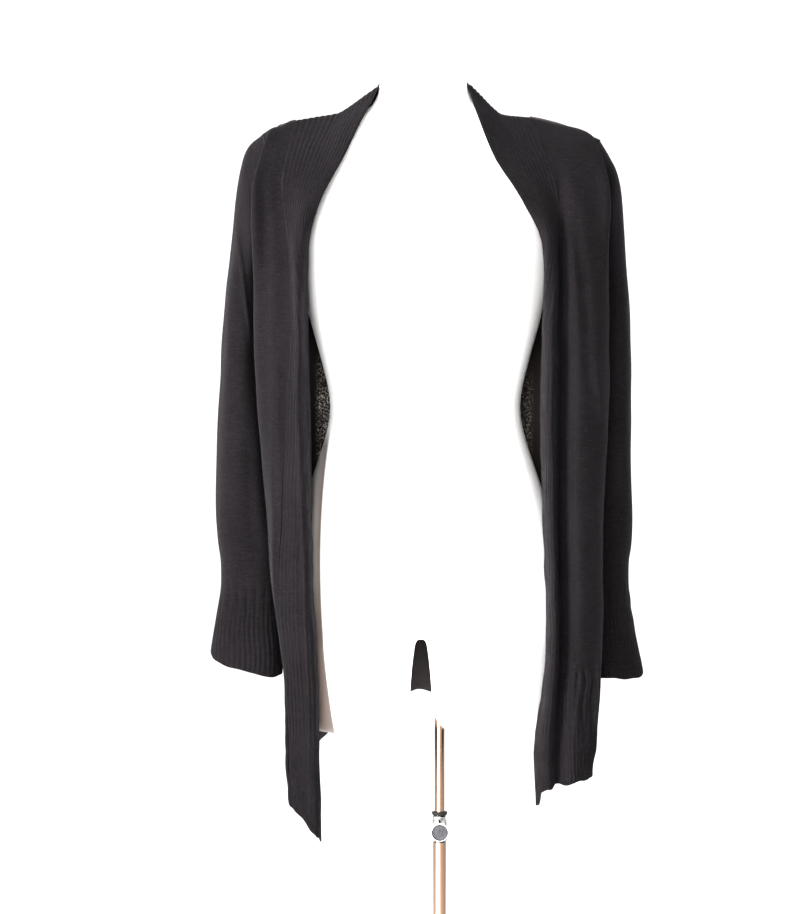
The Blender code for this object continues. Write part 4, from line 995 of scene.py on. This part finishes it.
# The sleeves are tubes of the same knit, set in at the armholes, each with a deep ribbed cuff
# knitted on. They hang empty and a little flat. Each row gives an oval between a point at the
# body and one at the outside.
# Columns:      inner: out, height   outer: out, height   middle  half depth  front drop
RIGHT_SLEEVE = (
    ("cap one", 0.1850, 1.1990, 0.2036, 1.3640, 0.012, 0.044, 0.0),
    ("cap two", 0.1885, 1.1960, 0.2127, 1.3410, 0.014, 0.046, 0.0),
    ("cap three", 0.1905, 1.1890, 0.2187, 1.3040, 0.017, 0.049, 0.0),
    ("cap four", 0.1920, 1.1790, 0.2240, 1.2586, 0.021, 0.055, 0.0),
    ("cap five", 0.1930, 1.1660, 0.2320, 1.2006, 0.026, 0.062, 0.0),
    ("upper arm", 0.1935, 1.1450, 0.2360, 1.1550, 0.030, 0.066, 0.0),
    ("arm", 0.1920, 1.0960, 0.2380, 1.0960, 0.032, 0.064, 0.0),
    ("elbow", 0.1860, 1.0260, 0.2414, 1.0260, 0.034, 0.058, 0.0),
    ("forearm", 0.1800, 0.9570, 0.2438, 0.9570, 0.035, 0.050, 0.0),
    ("wrist", 0.1745, 0.9150, 0.2415, 0.9150, 0.035, 0.044, 0.0),
    ("cuff top", 0.1710, 0.8850, 0.2365, 0.8850, 0.035, 0.041, 0.0),
    ("cuff", 0.1690, 0.8520, 0.2356, 0.8520, 0.035, 0.040, 0.0),
    ("cuff turn", 0.1670, 0.8175, 0.2414, 0.8175, 0.034, 0.040, 0.002),
    ("cuff hem", 0.1650, 0.7650, 0.2472, 0.7850, 0.033, 0.042, 0.014),
)
LEFT_SLEEVE = (
    ("cap one", 0.1880, 1.1990, 0.2125, 1.3520, 0.012, 0.044, 0.0),
    ("cap two", 0.1910, 1.1960, 0.2215, 1.3320, 0.014, 0.046, 0.0),
    ("cap three", 0.1930, 1.1890, 0.2285, 1.2900, 0.017, 0.049, 0.0),
    ("cap four", 0.1945, 1.1790, 0.2325, 1.2450, 0.021, 0.055, 0.0),
    ("cap five", 0.1955, 1.1660, 0.2365, 1.1920, 0.026, 0.062, 0.0),
    ("upper arm", 0.1960, 1.1450, 0.2385, 1.1500, 0.030, 0.066, 0.0),
    ("arm", 0.1945, 1.0960, 0.2403, 1.0960, 0.032, 0.064, 0.0),
    ("elbow", 0.1915, 1.0260, 0.2403, 1.0260, 0.034, 0.058, 0.0),
    ("forearm", 0.1900, 0.9570, 0.2403, 0.9570, 0.035, 0.050, 0.0),
    ("wrist", 0.1860, 0.9100, 0.2390, 0.9100, 0.035, 0.044, 0.0),
    ("cuff top", 0.1820, 0.8850, 0.2350, 0.8850, 0.035, 0.041, 0.0),
    ("cuff", 0.1810, 0.8520, 0.2345, 0.8520, 0.035, 0.040, 0.0),
    ("cuff turn", 0.1800, 0.8175, 0.2403, 0.8175, 0.034, 0.040, 0.002),
    ("cuff hem", 0.1780, 0.7640, 0.2530, 0.7620, 0.033, 0.042, 0.010),
)
SLEEVE_STEPS = 6
CUFF_TOP_ROW = 11
CUFF_TURN = 0.83
CUFF_RIBS = 24
RING_PARTS = 3
RING = 2 * ARMHOLE_ROWS * RING_PARTS
CUFF_RING = CUFF_RIBS * RIB_POINTS
OVAL_SQUARE = 0.6
OVAL_PARTS = 96
# How much of the armhole's own shape each row of the cap keeps: row, share
SETTLE = ((0, 1.0), (1, 0.75), (2, 0.5), (3, 0.3), (4, 0.12), (5, 0.0), (15, 0.0))
# Columns:      from turn  to turn  from row  to row  width  depth
RIGHT_CREASES = (
    (0.42, 0.30, 2, 8, 0.09, -0.0060),
    (0.30, 0.36, 6, 10, 0.08, -0.0035),
    (0.70, 0.66, 4, 9, 0.10, -0.0050),
    (0.20, 0.21, 6.6, 10.4, 0.035, -0.0032),
)
LEFT_CREASES = (
    (0.38, 0.32, 3, 9, 0.09, -0.0050),
    (0.68, 0.70, 4, 9, 0.10, -0.0050),
)
# Creases in the caps: points (out, height), width, depth
CAP_CREASES = {
    "right": (
        (((-0.2180, 1.275), (-0.2086, 1.220), (-0.2029, 1.174), (-0.1972, 1.134)), 0.0020, -0.0034),
        *ARMHOLE_RISES["right"],
    ),
    "left": (
        (((0.2080, 1.250), (0.2120, 1.180), (0.2090, 1.100)), 0.0060, 0.0030),
        *ARMHOLE_RISES["left"],
        (((0.2260, 1.020), (0.2290, 0.960)), 0.0060, 0.0024),
    ),
}


def oval(sign, row, count):
    """One ring of a sleeve from its row's sizes: an oval with a flattened front and back."""
    in_out, in_height, out_out, out_height, middle, half_deep, drop = row
    inner = Vector((sign * in_out, middle, in_height))
    outer = Vector((sign * out_out, middle, out_height))
    ring = []
    for k in range(OVAL_PARTS + 1):
        angle = 2 * math.pi * k / OVAL_PARTS
        aside = math.copysign(abs(math.cos(angle)) ** OVAL_SQUARE, math.cos(angle))
        ahead = math.copysign(abs(math.sin(angle)) ** OVAL_SQUARE, math.sin(angle))
        point = inner.lerp(outer, (1 - aside) / 2)
        ring.append(point + Vector((0, -half_deep * ahead, -drop * max(ahead, 0.0))))
    return np.array(even_points(ring, count)[:-1])


def creased(ring, row, creases):
    """A ring with its soft creases pressed in."""
    middle = ring.mean(axis=0)
    out = unit(ring - middle)
    turns = np.arange(len(ring)) / len(ring)
    push = np.zeros(len(ring))
    for start, end, low, high, width, depth in creases:
        share = (row - low) / (high - low)
        if -0.1 <= share <= 1.1:
            place = start + (end - start) * share
            fade = max(0.0, math.sin(math.pi * (0.08 + 0.84 * share)))
            away = np.abs((turns - place + 0.5) % 1.0 - 0.5)
            push += depth * fade * np.exp(-(away / width) ** 2)
    return ring + out * push[:, None]


for name, sign, table, creases in (("right", -1, RIGHT_SLEEVE, RIGHT_CREASES),
                                   ("left", 1, LEFT_SLEEVE, LEFT_CREASES)):
    band, front, back = grids[name]
    armhole = np.concatenate([front[UNDERARM_ROW:TOP_ROW + 1, -1],
                              back[TOP_ROW - 1:UNDERARM_ROW:-1, 0]])
    steps = np.roll(armhole, -1, axis=0) - armhole
    parts = [armhole + steps * (j / RING_PARTS) for j in range(RING_PARTS)]
    armhole = np.stack(parts, axis=1).reshape(-1, 3)
    underarm, tip = armhole[0], armhole[RING // 2]
    plain_row = (abs(underarm[0]), underarm[2], abs(tip[0]), tip[2],
                 (underarm[1] + tip[1]) / 2, 0.056, 0.0)
    own_shape = armhole - oval(sign, plain_row, RING)
    rows = [(0, *plain_row)] + [(i + 1, *row[1:]) for i, row in enumerate(table)]
    rings = []
    for step in range(SLEEVE_STEPS * CUFF_TOP_ROW + 1):
        at = step / SLEEVE_STEPS
        ring = oval(sign, between(rows, at), RING) + own_shape * between(SETTLE, at)[0]
        rings.append(creased(ring, at, creases))
    rings = np.array(rings)
    normals = facing(rings, sign, wrap=True)
    rings = pressed(settled(rings), CAP_CREASES[name])
    seams.append(np.concatenate([rings[0], rings[0, :1]]))
    rings[0] += unit(rings[1] - rings[0]) * (2 * SEAM_HALF)
    rings[-1] += unit(rings[-2] - rings[-1]) * SEAM_HALF
    pieces[f"sleeve_{name}"] = cloth(f"sleeve_{name}", rings, normals, np.zeros(rings.shape[:2]),
                                     [plain_face, reverse_face], wrap=True)

    rings = []
    for step in range(SLEEVE_STEPS * (len(table) - CUFF_TOP_ROW) + 1):
        at = CUFF_TOP_ROW + step / SLEEVE_STEPS
        rings.append(creased(oval(sign, between(rows, at), CUFF_RING), at, creases))
    rings = np.array(rings)
    normals = facing(rings, sign, wrap=True)
    even = np.arange(CUFF_RING) / CUFF_RING
    ribs = ribs_on(rings, CUFF_RIBS, CUFF_RISE, CUFF_TURN, rings[0, :, 2], even)
    rings = settled(rings)
    rings[0] += unit(rings[1] - rings[0]) * SEAM_HALF
    pieces[f"cuff_{name}"] = cloth(f"cuff_{name}", rings, normals, ribs, [rib_face, reverse_face],
                                   wrap=True)
    rims.append(np.concatenate([rings[-1], rings[-1, :1]]) -
                np.concatenate([normals[-1], normals[-1, :1]]) * (WALL / 2))

for name, piece in pieces.items():
    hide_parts(name)
    plain = name in ("back", "front_right", "front_left", "sleeve_right", "sleeve_left")
    width, length, area = piece["cut"]

# The pieces are linked with one dyed thread along each seam, and every free edge of the knit ends
# in a row of cast-off loops. Both are small beads of yarn, set out along their lines.
THREAD = (0.0320, 0.0275, 0.0305)
# Columns:     name             lines  spacing  long     thick
THREADS = (
    ("linked_seams", seams, 0.0026, 0.00150, 0.00055),
    ("cast_off_edges", rims, 0.0021, 0.00125, 0.00088),
)


def grown(name, source, tree_name, build, material, values):
    """The plain mesh of the copies that a Geometry Nodes tree sets on an object, on the form."""
    tree = bpy.data.node_groups.new(tree_name, "GeometryNodeTree")
    tree.interface.new_socket("Geometry", in_out="INPUT", socket_type="NodeSocketGeometry")
    tree.interface.new_socket("Geometry", in_out="OUTPUT", socket_type="NodeSocketGeometry")
    names = {}
    for label, value in values.items():
        kind = "NodeSocketInt" if isinstance(value, int) else "NodeSocketFloat"
        names[label] = tree.interface.new_socket(label, in_out="INPUT", socket_type=kind)
    entry = tree.nodes.new("NodeGroupInput")
    leave = tree.nodes.new("NodeGroupOutput")

    def node(kind, settings=None, inputs=None):
        made = tree.nodes.new(kind)
        for key, value in (settings or {}).items():
            setattr(made, key, value)
        for key, value in (inputs or {}).items():
            if isinstance(value, bpy.types.NodeSocket):
                tree.links.new(value, made.inputs[key])
            else:
                made.inputs[key].default_value = value
        return made

    copies = node("GeometryNodeInstanceOnPoints", None, build(node, entry.outputs))
    plain = node("GeometryNodeRealizeInstances", None, {"Geometry": copies.outputs[0]})
    dyed = node("GeometryNodeSetMaterial", None, {"Geometry": plain.outputs[0], "Material": material})
    tree.links.new(dyed.outputs[0], leave.inputs[0])
    modifier = source.modifiers.new(tree_name, "NODES")
    modifier.node_group = tree
    for label, value in values.items():
        modifier[names[label].identifier] = value
    depsgraph = bpy.context.evaluated_depsgraph_get()
    mesh = bpy.data.meshes.new_from_object(source.evaluated_get(depsgraph))
    bpy.data.objects.remove(source)
    mesh.name = name
    return placed(name, mesh, "form")


thread_look = Look("linking thread", THREAD, 0.95, sheen=0.05)
thread_twist = thread_look.noise(1800.0)
# The low parts of the thread's twist are darkened with painted shade.
thread_tone = thread_look.mixed(thread_look.ramp(thread_twist, 0.3, 0.7), GROOVE_SHADE, THREAD)
thread_look.set(Base_Color=thread_tone, Normal=thread_look.bump(thread_twist, 0.0002, 0.5))


def stitch_tree(node, given):
    """One small loop of yarn at each step along the lines."""
    points = node("GeometryNodeCurveToPoints", {"mode": "LENGTH"},
                  {"Curve": given["Geometry"], "Length": given["Spacing"]})
    bead = node("GeometryNodeMeshUVSphere", None, {"Segments": 6, "Rings": 4, "Radius": 0.5})
    size = node("ShaderNodeCombineXYZ", None, {"X": given["Thick"], "Y": given["Thick"], "Z": given["Long"]})
    return {"Points": points.outputs["Points"], "Instance": bead.outputs["Mesh"],
            "Rotation": points.outputs["Rotation"], "Scale": size.outputs[0]}


for name, lines, spacing, length, thick in THREADS:
    curve = bpy.data.curves.new(name, "CURVE")
    curve.dimensions = "3D"
    for line in lines:
        spline = curve.splines.new("POLY")
        spline.points.add(len(line) - 1)
        spline.points.foreach_set("co", np.concatenate([line, np.ones((len(line), 1))], axis=1).ravel())
    path = bpy.data.objects.new(name + " path", curve)
    bpy.context.scene.collection.objects.link(path)
    grown(name, path, name + " tree", stitch_tree, thread_look.material,
          {"Spacing": spacing, "Long": length * 1.8, "Thick": thick * 2})

# Wear has raised a short nap on the wool: single fibres, still spun into the yarn, stand out of
# the cloth all over its outside. Each is a thin cone.
NAP_DENSITY = 24000.0
NAP_LENGTH = 0.0022
NAP_RADIUS = 0.00005
NAP_TONE = (0.055, 0.050, 0.055)
NAP_SEED = 7

nap_look = Look("wool nap", NAP_TONE, 0.8, sheen=0.2)
nap_shade = nap_look.ramp(nap_look.noise(60.0), 0.3, 0.7)
nap_look.set(Base_Color=nap_look.mixed(nap_shade, BLACK, NAP_TONE))


def nap_tree(node, given):
    """Thin cones set at random on the outer faces and leaning at random."""
    slot = node("GeometryNodeInputMaterialIndex")
    outside = node("FunctionNodeCompare", {"data_type": "INT", "operation": "EQUAL"},
                   {2: slot.outputs[0], 3: 0})
    points = node("GeometryNodeDistributePointsOnFaces", None,
                  {"Mesh": given["Geometry"], "Selection": outside.outputs[0],
                   "Density": given["Density"], "Seed": given["Seed"]})
    fibre = node("GeometryNodeMeshCone", None, {"Vertices": 3, "Radius Top": 0.0,
                                                "Radius Bottom": given["Radius"], "Depth": given["Length"]})
    lean = node("FunctionNodeRandomValue", {"data_type": "FLOAT_VECTOR"},
                {0: (-1.1, -1.1, -3.1), 1: (1.1, 1.1, 3.1), "Seed": given["Seed"]})
    turn = node("FunctionNodeRotateRotation", {"rotation_space": "LOCAL"},
                {0: points.outputs["Rotation"], 1: lean.outputs[0]})
    return {"Points": points.outputs["Points"], "Instance": fibre.outputs["Mesh"],
            "Rotation": turn.outputs[0]}


joined = bmesh.new()
for piece in pieces.values():
    joined.from_mesh(piece.data)
ground_mesh = bpy.data.meshes.new("nap ground")
joined.to_mesh(ground_mesh)
joined.free()
ground = bpy.data.objects.new("nap ground", ground_mesh)
bpy.context.scene.collection.objects.link(ground)
grown("wool_nap", ground, "nap tree", nap_tree, nap_look.material,
      {"Density": NAP_DENSITY, "Length": NAP_LENGTH, "Radius": NAP_RADIUS, "Seed": NAP_SEED})

# The stand is a nickel-plated steel rod that slides in a tube, on a heavy round plate that is
# pressed from steel. A chromed clamp with a rubber ring and a round plastic knob on a screw holds
# the rod. All the pieces are turned.
POLE = Vector((0.0165, 0.0, 0.0))
KNOB_AXIS = Vector((0.0165, 0.0, 0.5775))
SCREW_AXIS = Vector((0.0165, 0.0, 0.5893))
TURNED_SIDES = 64
STREAKS = 3
REFLECTION_TURN = 2.47
FINE_STREAKS = 13.0
SCREW_TALL = 1.9
NICKEL = (0.31, 0.215, 0.160)
NICKEL_REFLECTED_DARK = (0.25, 0.195, 0.160)
NICKEL_REFLECTED_PALE = (0.58, 0.49, 0.42)


def turned(name, looks, profile, body, replaced, axis=POLE, ahead=False, tall=1.0):
    """A piece turned from rows of radius, distance along the axis and material round its section."""
    points, faces, slots, rings = [], [], [], []
    for radius, distance, look in profile:
        if radius == 0:
            rings.append([len(points)] * TURNED_SIDES)
        else:
            rings.append([len(points) + k for k in range(TURNED_SIDES)])
        for k in range(1 if radius == 0 else TURNED_SIDES):
            angle = 2 * math.pi * k / TURNED_SIDES
            across, up = radius * math.cos(angle), radius * math.sin(angle)
            place = (across, -distance, up * tall) if ahead else (across, up, distance)
            points.append(axis + Vector(place))
    closed = profile[0][0] > 0 or profile[-1][0] > 0
    for i in range(len(profile) - (0 if closed else 1)):
        low, high = rings[i], rings[(i + 1) % len(profile)]
        for k in range(TURNED_SIDES):
            j = (k + 1) % TURNED_SIDES
            corners = tuple(dict.fromkeys((low[k], low[j], high[j], high[k])))
            faces.append(corners)
            slots.append(profile[i][2])
    mesh = bpy.data.meshes.new(name)
    mesh.from_pydata([tuple(point) for point in points], [], faces)
    mesh.polygons.foreach_set("material_index", slots)
    made = link(name, mesh, looks, body)
    made.data.set_sharp_from_angle(angle=math.radians(35))
    if replaced:
        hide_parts(replaced)
    return made


def streaked(name, roughness):
    """Plated metal with soft bands along it: broad dark and pale ones are painted reflections of the studio
    round it, fine ones streaks from the polishing.
    """
    look = Look(name, NICKEL, roughness, metallic=1.0)
    turn = (look.place(0) - POLE.x).maths("ARCTAN2", look.place(1) * -1.0)
    # The broad bands round the axis are painted reflections of the studio; the fine ones are polishing.
    streak = (turn * STREAKS + REFLECTION_TURN).maths("SINE") + (turn * FINE_STREAKS).maths("SINE") * 0.12
    tone = look.mixed(look.ramp(streak, -1.15, -0.75), NICKEL_REFLECTED_DARK, NICKEL)
    tone = look.mixed(look.ramp(streak, 0.55, 1.05), tone, NICKEL_REFLECTED_PALE)
    scratches = look.noise(700.0, 3.0)
    return look.set(Base_Color=tone, Normal=look.bump(scratches, 0.00005, 0.3))


nickel = streaked("nickel with painted reflections", 0.22)
chrome_look = Look("clamp chrome", (0.80, 0.80, 0.80), 0.10, metallic=1.0)
chrome_shade = chrome_look.ramp(chrome_look.noise(130.0, 3.0), 0.42, 0.58)
chrome_tone = chrome_look.mixed(chrome_shade, (0.20, 0.20, 0.20), (0.72, 0.72, 0.70))
chrome = chrome_look.set(Base_Color=chrome_tone,
                         Roughness=chrome_look.ramp(chrome_look.noise(90.0), -0.6, 4.0))
rubber_look = Look("ring rubber", (0.008, 0.0065, 0.0055), 0.8)
rubber = rubber_look.set(Normal=rubber_look.bump(rubber_look.noise(1500.0), 0.0001, 0.5))
face_look = Look("knob face", (0.10, 0.10, 0.11), 0.6)
face_shade = face_look.ramp(face_look.noise(260.0, 3.0), 0.35, 0.65)
knob_face = face_look.set(Base_Color=face_look.mixed(face_shade, (0.020, 0.019, 0.021),
                                                     (0.042, 0.041, 0.047)))
rim_look = Look("knob rim", (0.78, 0.77, 0.76), 0.35)
knob_rim = rim_look.set(Normal=rim_look.bump(rim_look.noise(900.0), 0.0001, 0.4))

turned("rod_upper", [nickel], (
    (0, 0.200, 0), (0.0050, 0.200, 0), (0.0057, 0.2007, 0), (0.0057, 0.7460, 0), (0.0050, 0.7467, 0),
    (0, 0.7467, 0)), "rod", "upper_rod")
turned("tube_lower", [nickel], (
    (0.0062, 0.0083, 0), (0.0076, 0.0083, 0), (0.0076, 0.5644, 0), (0.0070, 0.5650, 0),
    (0.0062, 0.5650, 0)), "stand", "lower_tube")
turned("plate_base", [streaked("plated base with painted reflections", 0.3)], (
    (0, 0, 0), (0.1635, 0, 0), (0.1650, 0.0015, 0), (0.1650, 0.0040, 0), (0.1641, 0.0062, 0),
    (0.1625, 0.0074, 0), (0.1600, 0.0080, 0), (0.0200, 0.0100, 0), (0.0172, 0.0112, 0),
    (0.0160, 0.0140, 0), (0.0160, 0.0280, 0), (0.0154, 0.0294, 0), (0.0140, 0.0300, 0),
    (0.0079, 0.0300, 0), (0.0079, 0.0080, 0), (0, 0.0080, 0)), "stand", "base_plate")
turned("clamp_sleeve", [chrome], (
    (0.0062, 0.5653, 0), (0.0072, 0.5653, 0), (0.0082, 0.5663, 0), (0.0082, 0.5690, 0),
    (0.0078, 0.5694, 0), (0.0078, 0.5702, 0), (0.0082, 0.5706, 0), (0.0082, 0.5935, 0),
    (0.0072, 0.5945, 0), (0.0062, 0.5945, 0)), "stand", "rod_clamp")
turned("clamp_boss", [chrome], (
    (0, 0.0070, 0), (0.0045, 0.0070, 0), (0.0045, 0.0118, 0), (0.0040, 0.0122, 0), (0, 0.0122, 0)),
    "stand", None, KNOB_AXIS, True)
turned("clamp_screw", [chrome, rubber], (
    (0, 0.0070, 0), (0.0021, 0.0070, 0), (0.0021, 0.0094, 0), (0.0018, 0.0098, 0), (0.0012, 0.0098, 1),
    (0.0011, 0.0090, 1), (0, 0.0090, 1)), "stand", None, SCREW_AXIS, True, SCREW_TALL)
turned("ring_black", [rubber], (
    (0.0062, 0.5948, 0), (0.0068, 0.5948, 0), (0.0080, 0.5956, 0), (0.0088, 0.5972, 0),
    (0.0090, 0.5988, 0), (0.0087, 0.5993, 0), (0.0062, 0.5984, 0)), "stand", "rod_ring")
turned("knob_turning", [knob_rim, knob_face], (
    (0, 0.0125, 0), (0.0088, 0.0125, 0), (0.0098, 0.0129, 0), (0.0102, 0.0140, 0),
    (0.0102, 0.0182, 0), (0.0100, 0.0194, 0), (0.0094, 0.0200, 1), (0.0088, 0.0196, 1),
    (0.0080, 0.0190, 1), (0.0030, 0.0190, 1), (0.0027, 0.0194, 1), (0, 0.0195, 1)),
    "knob", "clamp_knob", KNOB_AXIS, True)
